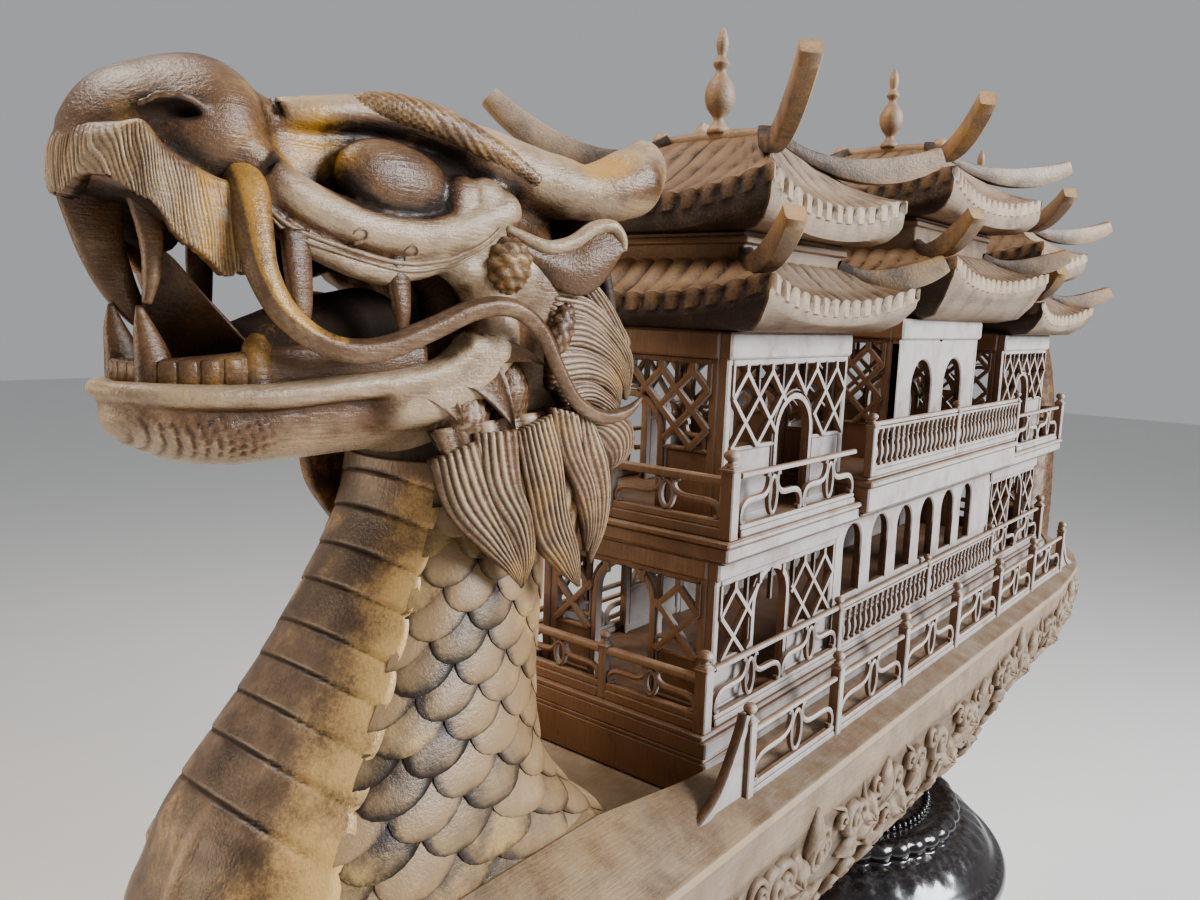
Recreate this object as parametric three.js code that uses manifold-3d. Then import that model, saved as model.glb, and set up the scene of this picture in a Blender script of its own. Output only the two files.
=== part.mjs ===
// Carved wooden dragon boat with a two-storey pavilion, on its round display stand.
// Millimetres, +Z up. The bow looks along -Y, port is +X.
// The model's origin is on the floor, at the middle of the stand's foot.
// Boat pieces are written in the boat's own frame: Y = 0 at the pavilion's front wall,
// Z = 0 at the deck.

import * as THREE from 'three';
import { mergeVertices } from 'three/addons/utils/BufferGeometryUtils.js';
import Module from 'manifold-3d';

const wasm = await Module();
wasm.setup();

// Driving dimensions.
const GAP = 0.3;
const STAND_HEIGHT = 730;
const HULL_DEPTH = 155;
const MIDSHIP = 415;
const PAVILION_LENGTH = 864;
const WALL = 8;
const BASE_HEIGHT = 42;
const LOWER_WALL_TOP = 172;
const UPPER_DECK_TOP = 192;
const UPPER_WALL_TOP = 340;
const LOWER_HALF_WIDTH = 88;
const BASE_HALF_WIDTH = 105;
const UPPER_DECK_HALF_WIDTH = 115;
const OVERHANG = 30;
const GALLERY_FROM = 195;
const GALLERY_TO = 635;
const GALLERY_FLOOR = 215;
const GALLERY_HALF_WIDTH = 124;
const HULL_HALF_BEAM = 158.4;
const PLANK_INNER = 105.6;
const WELL_DEPTH = 12;
const NECK_SEAT = 262;
const CHEEK_PLANE = -205;
const HEAD_BACK = -150;

const WOOD = { color: 0x8a6a48, roughness: 0.55, metalness: 0 };
const PALE_WOOD = { color: 0xa89880, roughness: 0.6, metalness: 0 };
const BROWN_WOOD = { color: 0x7a4a28, roughness: 0.5, metalness: 0 };
const LACQUER = { color: 0x14110f, roughness: 0.15, metalness: 0 };

// Solids and booleans.
function solidOf(geometry) {
  const bare = geometry.clone();
  bare.deleteAttribute('normal');
  bare.deleteAttribute('uv');
  const merged = mergeVertices(bare, 1e-4);
  const vertProperties = Float32Array.from(merged.attributes.position.array);
  const triVerts = Uint32Array.from(merged.index.array);
  return new wasm.Manifold(new wasm.Mesh({ numProp: 3, vertProperties, triVerts }));
}

function geometryOf(manifold) {
  const mesh = manifold.getMesh();
  const geometry = new THREE.BufferGeometry();
  geometry.setAttribute('position', new THREE.BufferAttribute(mesh.vertProperties, 3));
  geometry.setIndex(new THREE.BufferAttribute(mesh.triVerts, 1));
  geometry.computeVertexNormals();
  return geometry;
}

function join(...solids) {
  return solids.flat().reduce((whole, piece) => whole.add(piece));
}

function cut(solid, ...holes) {
  return holes.flat().reduce((rest, hole) => rest.subtract(hole), solid);
}

// A box between two corners.
function block(x0, x1, y0, y1, z0, z1) {
  const geometry = new THREE.BoxGeometry(x1 - x0, y1 - y0, z1 - z0);
  geometry.translate((x0 + x1) / 2, (y0 + y1) / 2, (z0 + z1) / 2);
  return solidOf(geometry);
}

// A box that runs along X or Y from s0 to s1 and spans c0 to c1 across.
function beam(axis, s0, s1, c0, c1, z0, z1) {
  return axis === 'y' ? block(c0, c1, s0, s1, z0, z1) : block(s0, s1, c0, c1, z0, z1);
}

// A prism through a wall, with its corners on a circle: 4 sides give a diamond.
function prism(axis, s, c0, c1, z, radius, sides) {
  const geometry = new THREE.CylinderGeometry(radius, radius, c1 - c0, sides);
  const middle = (c0 + c1) / 2;
  if (axis === 'y') {
    geometry.rotateZ(Math.PI / 2);
    geometry.translate(middle, s, z);
  } else {
    geometry.translate(s, middle, z);
  }
  return solidOf(geometry);
}

// The space of a doorway or window with a round head.
function archway(axis, s, halfWidth, c0, c1, z0, top) {
  const spring = top - halfWidth;
  return join(
    beam(axis, s - halfWidth, s + halfWidth, c0, c1, z0, spring),
    prism(axis, s, c0, c1, spring, halfWidth, 16),
  );
}

// A closed skin through rings with the same number of points, fanned shut at both ends.
function loft(rings) {
  const count = rings[0].length;
  const positions = rings.flat().flatMap((p) => [p.x, p.y, p.z]);
  const faces = [];
  for (let r = 0; r < rings.length - 1; r += 1) {
    for (let i = 0; i < count; i += 1) {
      const a = r * count + i;
      const b = r * count + ((i + 1) % count);
      faces.push([a, b, a + count], [b, b + count, a + count]);
    }
  }
  [0, rings.length - 1].forEach((r) => {
    const centre = rings[r].reduce((sum, p) => sum.add(p), new THREE.Vector3()).divideScalar(count);
    const hub = positions.length / 3;
    positions.push(centre.x, centre.y, centre.z);
    for (let i = 0; i < count; i += 1) {
      const a = r * count + i;
      const b = r * count + ((i + 1) % count);
      faces.push(r === 0 ? [b, a, hub] : [a, b, hub]);
    }
  });
  const at = (i) => new THREE.Vector3(...positions.slice(3 * i, 3 * i + 3));
  const volume = faces.reduce((sum, [a, b, c]) => sum + at(a).dot(at(b).cross(at(c))), 0);
  const ordered = volume < 0 ? faces.map(([a, b, c]) => [a, c, b]) : faces;
  const geometry = new THREE.BufferGeometry();
  geometry.setAttribute('position', new THREE.Float32BufferAttribute(positions, 3));
  geometry.setIndex(ordered.flat());
  return solidOf(geometry);
}

// A ring of points: a circle drawn out towards a rectangle as its squareness rises from 2.
function ring(centre, side, up, halfSide, halfUp, count, squareness) {
  const stretch = (value) => Math.sign(value) * Math.abs(value) ** (2 / squareness);
  return Array.from({ length: count }, (_, i) => {
    const angle = (2 * Math.PI * (i + 0.5)) / count;
    return centre.clone()
      .addScaledVector(side, halfSide * stretch(Math.cos(angle)))
      .addScaledVector(up, halfUp * stretch(Math.sin(angle)));
  });
}

const X_AXIS = new THREE.Vector3(1, 0, 0);
const Y_AXIS = new THREE.Vector3(0, 1, 0);
const Z_AXIS = new THREE.Vector3(0, 0, 1);

// A body whose sections stand across the Y axis. Columns: y, low, high, halfWidth.
function bodyAlongY(sections, swell = 0) {
  return loft(sections.map(({ y, low, high, halfWidth }) => ring(
    new THREE.Vector3(0, y, (low + high) / 2),
    X_AXIS, Z_AXIS, halfWidth + swell, (high - low) / 2 + swell, 16, 2.6,
  )));
}

// A tapering limb along a curve. Columns: x, y, z, then half width across the bend plane
// and half depth in it.
function limb(points, count = 8, squareness = 2.2) {
  const places = points.map(([x, y, z]) => new THREE.Vector3(x, y, z));
  return loft(places.map((place, i) => {
    const before = places[Math.max(i - 1, 0)];
    const after = places[Math.min(i + 1, places.length - 1)];
    const tangent = after.clone().sub(before).normalize();
    const side = X_AXIS.clone().addScaledVector(tangent, -tangent.x).normalize();
    const up = tangent.clone().cross(side);
    return ring(place, side, up, points[i][3], points[i][4], count, squareness);
  }));
}

function mirrored(solid) {
  return solid.mirror([1, 0, 0]);
}

const model = new THREE.Group();
const boat = new THREE.Group();
boat.position.set(0, -MIDSHIP, STAND_HEIGHT + HULL_DEPTH);
model.add(boat);

function addPiece(group, name, solid, look) {
  const mesh = new THREE.Mesh(geometryOf(solid), new THREE.MeshStandardMaterial(look));
  mesh.name = name;
  group.add(mesh);
}

function addPair(name, solid, look) {
  addPiece(boat, `${name}_port`, solid, look);
  addPiece(boat, `${name}_starboard`, mirrored(solid), look);
}

// Hull: a full, shallow body. A plank slopes down from its inner edge to the gunwale, and
// the deck between the planks is sunk. The keel is level to two thirds of the length and
// then rises to the stern. Columns: y, half beam, half width between the planks, height of
// the planks' inner edges, keel.
const HULL_SECTIONS = [
  { y: -336, half: 60, inner: 40, rise: 24, keel: -130 },
  { y: -330, half: 126, inner: 92, rise: 26, keel: -134 },
  { y: -316, half: 152, inner: 101, rise: 29, keel: -142 },
  { y: -285, half: 157, inner: 101, rise: 31, keel: -151 },
  { y: -240, half: 157.6, inner: 101, rise: 31, keel: -HULL_DEPTH },
  { y: -150, half: HULL_HALF_BEAM, inner: 101, rise: 31, keel: -HULL_DEPTH },
  { y: -60, half: HULL_HALF_BEAM, inner: PLANK_INNER, rise: 20, keel: -HULL_DEPTH },
  { y: 0, half: HULL_HALF_BEAM, inner: PLANK_INNER, rise: 16, keel: -HULL_DEPTH },
  { y: 470, half: HULL_HALF_BEAM, inner: PLANK_INNER, rise: 16, keel: -HULL_DEPTH },
  { y: 530, half: HULL_HALF_BEAM, inner: PLANK_INNER, rise: 16, keel: -136 },
  { y: 600, half: HULL_HALF_BEAM, inner: PLANK_INNER, rise: 16, keel: -118 },
  { y: 780, half: HULL_HALF_BEAM, inner: PLANK_INNER, rise: 16, keel: -108 },
  { y: 860, half: 152.5, inner: PLANK_INNER, rise: 16, keel: -103 },
  { y: 900, half: 149, inner: PLANK_INNER, rise: 16, keel: -98 },
  { y: 930, half: 145, inner: 100, rise: 16, keel: -94 },
  { y: 1000, half: 126, inner: 84, rise: 15, keel: -86 },
  { y: 1060, half: 98, inner: 62, rise: 13, keel: -69 },
  { y: 1104, half: 62, inner: 38, rise: 10, keel: -57 },
  { y: 1124, half: 28, inner: 16, rise: 6, keel: -52 },
];
// The turn of the bilge. Columns: share of the half beam, share of the keel's depth.
const BILGE = [[0.6, 1], [0.85, 0.85], [0.965, 0.55]];
// The sunk deck runs between these two places.
const DECK_FROM = -240;
const DECK_TO = 1000;
const ABOVE_PLANKS = 60;
const HULL_REACH = 1300;
const WELL_HALF_WIDTH = 92;
const FRONT_WELL = { from: -139, to: -OVERHANG };
const REAR_WELL = { from: PAVILION_LENGTH + OVERHANG, to: 962 };

function hullRing(y, port) {
  const outline = port.map(([x, z]) => new THREE.Vector3(x, y, z));
  const starboard = port.map(([x, z]) => new THREE.Vector3(-x, y, z)).reverse();
  return [...outline, ...starboard];
}

// The hull swollen by a clearance all round, its sunk deck narrowed by the same. The port
// half is mirrored, so that both sides have the same facets.
function hullBody(swell) {
  const last = HULL_SECTIONS.length - 1;
  const skin = loft(HULL_SECTIONS.map(({ y, half, inner, rise, keel }, i) => {
    const end = Number(i === last) - Number(i === 0);
    const bilge = BILGE.map(([across, down]) => [half * across + swell, keel * down - swell]);
    return hullRing(y + swell * end, [...bilge, [half + swell, 0], [inner, rise + swell]]);
  }));
  const sunk = HULL_SECTIONS.filter(({ y }) => y >= DECK_FROM && y <= DECK_TO);
  const room = loft(sunk.map(({ y, inner }) => hullRing(y, [
    [inner - swell, swell], [inner - swell, ABOVE_PLANKS],
  ])));
  const length = block(
    -PLANK_INNER, PLANK_INNER, FRONT_WELL.from + swell, REAR_WELL.to - swell, -1, ABOVE_PLANKS + 1,
  );
  const wells = [FRONT_WELL, REAR_WELL].map(({ from, to }) => block(
    -WELL_HALF_WIDTH + swell, WELL_HALF_WIDTH - swell, from + swell, to - swell,
    -WELL_DEPTH + swell, WELL_DEPTH,
  ));
  const portSide = block(0, 2 * HULL_HALF_BEAM, -HULL_REACH, HULL_REACH, -HULL_REACH, HULL_REACH);
  const port = cut(skin, room.intersect(length), wells).intersect(portSide);
  return join(port, mirrored(port));
}

addPiece(boat, 'hull', hullBody(0), PALE_WOOD);

// Neck and chest: one curved trunk that rises from in front of the bow to the head. It
// reaches further ahead of its middle line than behind it. Columns: height, middle line,
// half width, reach ahead, reach behind.
const NECK_SECTIONS = [
  [-174, -262, 60, 62, 60], [-140, -262, 90, 92, 96], [-60, -250, 101, 126, 130], [5, -242, 100, 146, 132],
  [35, -240, 94, 140, 106], [65, -236, 88, 131, 88], [100, -230, 80, 110, 80], [135, -223, 73, 89, 78],
  [180, -212, 66, 70, 76], [235, -200, 59, 56, 72], [290, -198, 57, 51, 61],
];

function neckBody(swell) {
  return loft(NECK_SECTIONS.map(([z, middle, half, ahead, behind]) => ring(
    new THREE.Vector3(0, middle + (behind - ahead) / 2, z), X_AXIS, Y_AXIS,
    half + swell, (ahead + behind) / 2 + swell, 20, 2.4,
  )));
}

const aboveNeck = block(-200, 200, -450, 50, NECK_SEAT, 400);
const neck = cut(neckBody(0), hullBody(GAP), aboveNeck);
addPiece(boat, 'dragon_neck', neck, WOOD);

// Head. Columns: y along the head, lowest and highest point, half width.
const SKULL_SECTIONS = [
  { y: -424, low: 392, high: 436, halfWidth: 16 },
  { y: -412, low: 382, high: 450, halfWidth: 28 },
  { y: -392, low: 384, high: 462, halfWidth: 38 },
  { y: -363, low: 378, high: 466, halfWidth: 43 },
  { y: -325, low: 366, high: 448, halfWidth: 46 },
  { y: -280, low: 362, high: 458, halfWidth: 54 },
  { y: -235, low: 348, high: 456, halfWidth: 62 },
  { y: CHEEK_PLANE, low: 326, high: 453, halfWidth: 65 },
  { y: HEAD_BACK, low: 318, high: 436, halfWidth: 60 },
];
const JAW_SECTIONS = [
  { y: -405, low: 298, high: 312, halfWidth: 18 },
  { y: -388, low: 274, high: 320, halfWidth: 34 },
  { y: -350, low: 268, high: 320, halfWidth: 45 },
  { y: -310, low: 268, high: 312, halfWidth: 51 },
  { y: -265, low: 268, high: 314, halfWidth: 56 },
  { y: -235, low: 270, high: 322, halfWidth: 60 },
  { y: CHEEK_PLANE - GAP, low: 272, high: 324, halfWidth: 62 },
];
const FACE_FRONT = -440;
const SIDE_ROOM = 120;
const SEAT = NECK_SEAT + GAP;
const cheekBlock = block(-62, 62, CHEEK_PLANE, HEAD_BACK, SEAT, 380);
const mouthLine = block(-SIDE_ROOM, SIDE_ROOM, FACE_FRONT, CHEEK_PLANE, 250, 325);

function skullBody(swell) {
  return join(bodyAlongY(SKULL_SECTIONS, swell), cheekBlock);
}

const jawRoot = block(-56, 56, -268, CHEEK_PLANE - GAP, SEAT, 300);
const skull = cut(skullBody(0), mouthLine);
addPiece(boat, 'skull', skull, WOOD);
const jawClear = block(-SIDE_ROOM, SIDE_ROOM, FACE_FRONT, 0, 200, SEAT);
const jaw = cut(join(bodyAlongY(JAW_SECTIONS), jawRoot), jawClear);
addPiece(boat, 'lower_jaw', jaw, WOOD);

// Tongue: a leaf that stands on the jaw and curls up to its tip.
const TONGUE = [
  [0, -318, 322, 15, 5], [0, -336, 326, 17, 7], [0, -352, 337, 16, 7],
  [0, -365, 352, 12, 6], [0, -374, 369, 4, 3],
];
const tongueRoot = block(-12, 12, -345, -300, 318, 328);
const tongue = cut(join(limb(TONGUE), tongueRoot), bodyAlongY(JAW_SECTIONS, GAP));
addPiece(boat, 'tongue', tongue, WOOD);

// Horns: thick scrolls that run back from the brow and roll over at the end.
const HORN = [
  [46, -162, 424, 20, 20], [58, -140, 428, 21, 21], [64, -118, 424, 22, 24],
  [68, -98, 426, 20, 24], [69, -80, 434, 15, 17], [69, -68, 441, 6, 8],
];
addPair('horn', cut(limb(HORN, 10), skullBody(GAP)), WOOD);

// Ears: leaf flaps behind the cheeks.
const EAR = [
  [60, -196, 382, 6, 10], [74, -184, 380, 6, 16], [84, -166, 380, 6, 19],
  [90, -150, 386, 5, 12], [94, -140, 392, 3, 4],
];
const MANE_TOP = 372;
const earClear = block(-SIDE_ROOM, SIDE_ROOM, HEAD_BACK, 0, 200, MANE_TOP + GAP);
addPair('ear', cut(limb(EAR), skullBody(GAP), earClear), WOOD);

// Whiskers: long bands that leave the nostrils, pass the mouth and curl up at the mane.
const WHISKER_PATH = [
  [36, -362, 412], [52, -360, 392], [60, -350, 352], [66, -334, 332], [72, -312, 325],
  [78, -279, 340], [86, -240, 354], [91, -212, 340], [93, -190, 312], [96, -165, 292],
  [99, -140, 286], [101, -128, 292],
];
const whiskerSection = new THREE.Shape();
whiskerSection.absellipse(0, 0, 5, 8, 0, 2 * Math.PI);
const whiskerCurve = new THREE.CatmullRomCurve3(WHISKER_PATH.map((p) => new THREE.Vector3(...p)));
const whiskerTube = solidOf(new THREE.ExtrudeGeometry(whiskerSection, {
  steps: 24, curveSegments: 4, extrudePath: whiskerCurve,
}));
addPair('whisker', cut(whiskerTube, skullBody(GAP), bodyAlongY(JAW_SECTIONS, GAP)), WOOD);

// Mane: combed hair round the back of the head, standing on the neck.
const MANE_SECTIONS = [
  { y: HEAD_BACK + GAP, low: SEAT, high: MANE_TOP, halfWidth: 80 },
  { y: -120, low: SEAT, high: MANE_TOP - 6, halfWidth: 80 },
  { y: -98, low: SEAT + 4, high: MANE_TOP - 40, halfWidth: 68 },
];
const mane = cut(
  loft(MANE_SECTIONS.map(({ y, low, high, halfWidth }) => ring(
    new THREE.Vector3(0, y, (low + high) / 2), X_AXIS, Z_AXIS, halfWidth, (high - low) / 2, 12, 4,
  ))),
  neckBody(GAP),
);
addPiece(boat, 'mane', mane, WOOD);

// Beard locks: flat tapering hair that hangs from the cheeks beside the neck.
const BEARD = [
  [69, -222, NECK_SEAT - GAP, 11, 40], [72, -206, 236, 11, 34], [74, -190, 212, 9, 24], [74, -176, 188, 5, 8],
];
const beardClear = block(-SIDE_ROOM, SIDE_ROOM, -300, 0, NECK_SEAT - GAP, 300);
addPair('beard', cut(limb(BEARD, 8, 3), neckBody(GAP), beardClear), WOOD);

// Tail: rises from the stern and curls forward to a finned tip.
const TAIL_SECTIONS = [
  [0, 1085, -120, 44, 40], [0, 1134, -60, 54, 66], [0, 1174, 20, 50, 62],
  [0, 1202, 100, 40, 50], [0, 1216, 180, 31, 38], [0, 1210, 255, 23, 28],
  [0, 1184, 318, 16, 20], [0, 1136, 350, 10, 16], [0, 1092, 352, 4, 8],
];
const tail = cut(limb(TAIL_SECTIONS, 14, 2.1), hullBody(GAP));
addPiece(boat, 'tail', tail, WOOD);

// Pavilion base: two stepped boards on the deck.
const base = join(
  block(-BASE_HALF_WIDTH, BASE_HALF_WIDTH, -OVERHANG, PAVILION_LENGTH + OVERHANG, GAP, 25),
  block(
    -BASE_HALF_WIDTH + 4, BASE_HALF_WIDTH - 4, -OVERHANG + 4, PAVILION_LENGTH + OVERHANG - 4,
    20, BASE_HEIGHT,
  ),
);
addPiece(boat, 'pavilion_base', base, BROWN_WOOD);

// A panel of diamond lattice with a plain frame round it, left solid near any doorway.
const CELL = 33;
const FRAME = 7;
function latticeHoles(axis, s0, s1, c0, c1, z0, z1, doors) {
  const holes = [];
  const columns = Math.floor((s1 - s0 - 2 * FRAME) / CELL);
  const rows = Math.max(1, Math.round((z1 - z0 - 2 * FRAME) / CELL));
  const rowPitch = (z1 - z0 - 2 * FRAME) / rows;
  const radius = Math.min(CELL, rowPitch) / 2 - 2;
  const start = (s0 + s1) / 2 - (columns * CELL) / 2;
  for (let row = 0; row < 2 * rows - 1; row += 1) {
    const shift = row % 2;
    for (let column = 0; column < columns - shift; column += 1) {
      const s = start + CELL * (column + 0.5 + shift / 2);
      const z = z0 + FRAME + rowPitch * (row / 2 + 0.5);
      const clear = doors.every((door) => (
        Math.abs(s - door.at) > door.half + radius + 4 || z - radius > door.top + 6
      ));
      if (clear) {
        holes.push(prism(axis, s, c0, c1, z, radius, 4));
      }
    }
  }
  return holes;
}

// A wall panel. Bays of lattice, doorways and windows are listed by their places along it.
function wall(axis, s0, s1, c0, z0, z1, { bays = [], doors = [], windows = [] }) {
  const c1 = c0 + WALL;
  const plate = beam(axis, s0, s1, c0, c1, z0, z1);
  const through = [c0 - 2, c1 + 2];
  const holes = [
    ...bays.flatMap(({ from, to, low, high }) => latticeHoles(axis, from, to, ...through, low, high, doors)),
    ...doors.map(({ at, half, top }) => archway(axis, at, half, ...through, z0 - 2, top)),
    ...windows.map(({ at, half, low, top }) => archway(axis, at, half, ...through, low, top)),
  ];
  return cut(plate, holes);
}

// Lower storey. The side walls are lattice at both ends and plain with round-headed
// windows between.
const lowerFloor = BASE_HEIGHT + GAP;
const lowerHead = LOWER_WALL_TOP - GAP;
const LOWER_DADO = 101;
const frontDoor = { at: 0, half: 27, top: 148 };
const lowerEnd = {
  bays: [{ from: -LOWER_HALF_WIDTH + 4, to: LOWER_HALF_WIDTH - 4, low: LOWER_DADO, high: lowerHead - 2 }],
  doors: [frontDoor],
};
[['lower_front_wall', 0], ['lower_rear_wall', PAVILION_LENGTH - WALL]].forEach(([name, y]) => {
  addPiece(boat, name, wall(
    'x', -LOWER_HALF_WIDTH, LOWER_HALF_WIDTH, y, lowerFloor, lowerHead, lowerEnd,
  ), BROWN_WOOD);
});
const SIDE_DOOR = 87;
const WINDOW_PITCH = 65;
const BAY = 207;
const lowerSide = {
  bays: [
    { from: WALL, to: BAY, low: LOWER_DADO, high: lowerHead - 2 },
    { from: PAVILION_LENGTH - BAY, to: PAVILION_LENGTH - WALL, low: LOWER_DADO, high: lowerHead - 2 },
  ],
  doors: [SIDE_DOOR, PAVILION_LENGTH - SIDE_DOOR].map((at) => ({ at, half: 27, top: 145 })),
  windows: [0, 1, 2, 3, 4, 5].map((i) => ({ at: 244 + i * WINDOW_PITCH, half: 20, low: 92, top: 160 })),
};
addPair('lower_side_wall', wall(
  'y', WALL + GAP, PAVILION_LENGTH - WALL - GAP, LOWER_HALF_WIDTH - WALL, lowerFloor, lowerHead, lowerSide,
), PALE_WOOD);

// A railing: foot and hand rails with upright bars between, and taller posts.
function railing(axis, s0, s1, c, foot, hand, bars, posts) {
  const rails = [
    beam(axis, s0, s1, c - 3, c + 3, foot, foot + 6),
    beam(axis, s0, s1, c - 4, c + 4, hand - 8, hand),
  ];
  const pitch = (s1 - s0) / (bars + 1);
  const uprights = Array.from({ length: bars }, (_, i) => {
    const s = s0 + pitch * (i + 1);
    return beam(axis, s - 2.5, s + 2.5, c - 2.5, c + 2.5, foot + 3, hand - 4);
  });
  const newels = posts.map(({ at, half, top }) => (
    beam(axis, at - half, at + half, c - half, c + half, foot, top)
  ));
  return join(rails, uprights, newels);
}

// Lower gallery railings on the base.
const RAIL_HAND = 86;
const NEWEL_TOP = 106;
const lowerRailX = BASE_HALF_WIDTH - 10;
const lowerRailY = -OVERHANG + 9;
const sideRailFrom = lowerRailY + 7 + GAP;
const sideRailTo = PAVILION_LENGTH - sideRailFrom;
const endNewels = (x, top) => [
  { at: -x, half: 6, top }, { at: 0, half: 4, top: top - 8 }, { at: x, half: 6, top },
];
[['lower_rail_front', lowerRailY], ['lower_rail_rear', PAVILION_LENGTH - lowerRailY]].forEach(([name, y]) => {
  addPiece(boat, name, railing(
    'x', -lowerRailX, lowerRailX, y, lowerFloor, RAIL_HAND, 7, endNewels(lowerRailX, NEWEL_TOP),
  ), BROWN_WOOD);
});
addPair('lower_rail', railing('y', sideRailFrom, sideRailTo, lowerRailX, lowerFloor, RAIL_HAND, 17, [
  { at: BAY, half: 5, top: NEWEL_TOP }, { at: PAVILION_LENGTH / 2, half: 5, top: NEWEL_TOP },
  { at: PAVILION_LENGTH - BAY, half: 5, top: NEWEL_TOP },
]), PALE_WOOD);

// Upper deck: one slab, with a raised gallery floor along the middle of each side.
const deck = join(
  block(
    -UPPER_DECK_HALF_WIDTH, UPPER_DECK_HALF_WIDTH, -OVERHANG, PAVILION_LENGTH + OVERHANG,
    LOWER_WALL_TOP, UPPER_DECK_TOP,
  ),
  block(102, GALLERY_HALF_WIDTH, GALLERY_FROM, GALLERY_TO, UPPER_DECK_TOP - 14, GALLERY_FLOOR),
  block(-GALLERY_HALF_WIDTH, -102, GALLERY_FROM, GALLERY_TO, UPPER_DECK_TOP - 14, GALLERY_FLOOR),
);
addPiece(boat, 'upper_deck', deck, PALE_WOOD);

// Upper railings: at the ends on the slab, and along the sides in three lengths.
const upperRailX = UPPER_DECK_HALF_WIDTH - 7;
const galleryRailX = GALLERY_HALF_WIDTH - 6;
const UPPER_HAND = 238;
const UPPER_NEWEL = 258;
const GALLERY_HAND = 261;
const slabTop = UPPER_DECK_TOP + GAP;
[['upper_rail_front', lowerRailY], ['upper_rail_rear', PAVILION_LENGTH - lowerRailY]].forEach(([name, y]) => {
  addPiece(boat, name, railing(
    'x', -upperRailX, upperRailX, y, slabTop, UPPER_HAND, 7, endNewels(upperRailX, UPPER_NEWEL),
  ), BROWN_WOOD);
});
const endLength = GALLERY_FROM - 5 - GAP;
const upperSideRails = [
  ['upper_rail_fore', sideRailFrom, endLength],
  ['upper_rail_aft', PAVILION_LENGTH - endLength, sideRailTo],
];
upperSideRails.forEach(([name, from, to]) => {
  addPair(name, railing('y', from, to, upperRailX, slabTop, UPPER_HAND, 6, []), PALE_WOOD);
});
const galleryFoot = GALLERY_FLOOR + GAP;
addPair('gallery_rail', railing('y', GALLERY_FROM, GALLERY_TO, galleryRailX, galleryFoot, GALLERY_HAND, 11, [
  { at: GALLERY_FROM + 5, half: 5, top: GALLERY_HAND + 10 }, { at: MIDSHIP, half: 5, top: GALLERY_HAND + 10 },
  { at: GALLERY_TO - 5, half: 5, top: GALLERY_HAND + 10 },
]), PALE_WOOD);

// Upper storey: three open rooms. Columns: name, y from and to, half width, wall top, place
// of the side doors, and whether the side walls are plain with two windows.
const ROOMS = [
  { name: 'fore', from: 0, to: 204, half: 88, top: UPPER_WALL_TOP, doorAt: 108, plain: false },
  { name: 'mid', from: 300, to: 530, half: 96, top: UPPER_WALL_TOP + 15, doorAt: 415, plain: true },
  { name: 'aft', from: 660, to: PAVILION_LENGTH, half: 88, top: UPPER_WALL_TOP, doorAt: 756, plain: false },
];
const UPPER_DADO = 250;
ROOMS.forEach(({ name, from, to, half, top, doorAt, plain }) => {
  const head = top - GAP;
  const door = (at) => ({ at, half: 27, top: 286 });
  const ends = {
    bays: [{ from: -half + 4, to: half - 4, low: UPPER_DADO, high: head - 20 }],
    doors: [door(0)],
  };
  const lattice = {
    bays: [{ from: from + WALL, to: to - WALL, low: UPPER_DADO, high: head - 20 }],
    doors: [door(doorAt)],
  };
  const windows = { windows: [367, 459].map((at) => ({ at, half: 28, low: 226, top: 314 })) };
  addPiece(boat, `${name}_room_front`, wall('x', -half, half, from, slabTop, head, ends), BROWN_WOOD);
  addPiece(boat, `${name}_room_rear`, wall('x', -half, half, to - WALL, slabTop, head, ends), BROWN_WOOD);
  addPair(`${name}_room_side`, wall(
    'y', from + WALL + GAP, to - WALL - GAP, half - WALL, slabTop, head, plain ? windows : lattice,
  ), PALE_WOOD);
});

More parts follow.
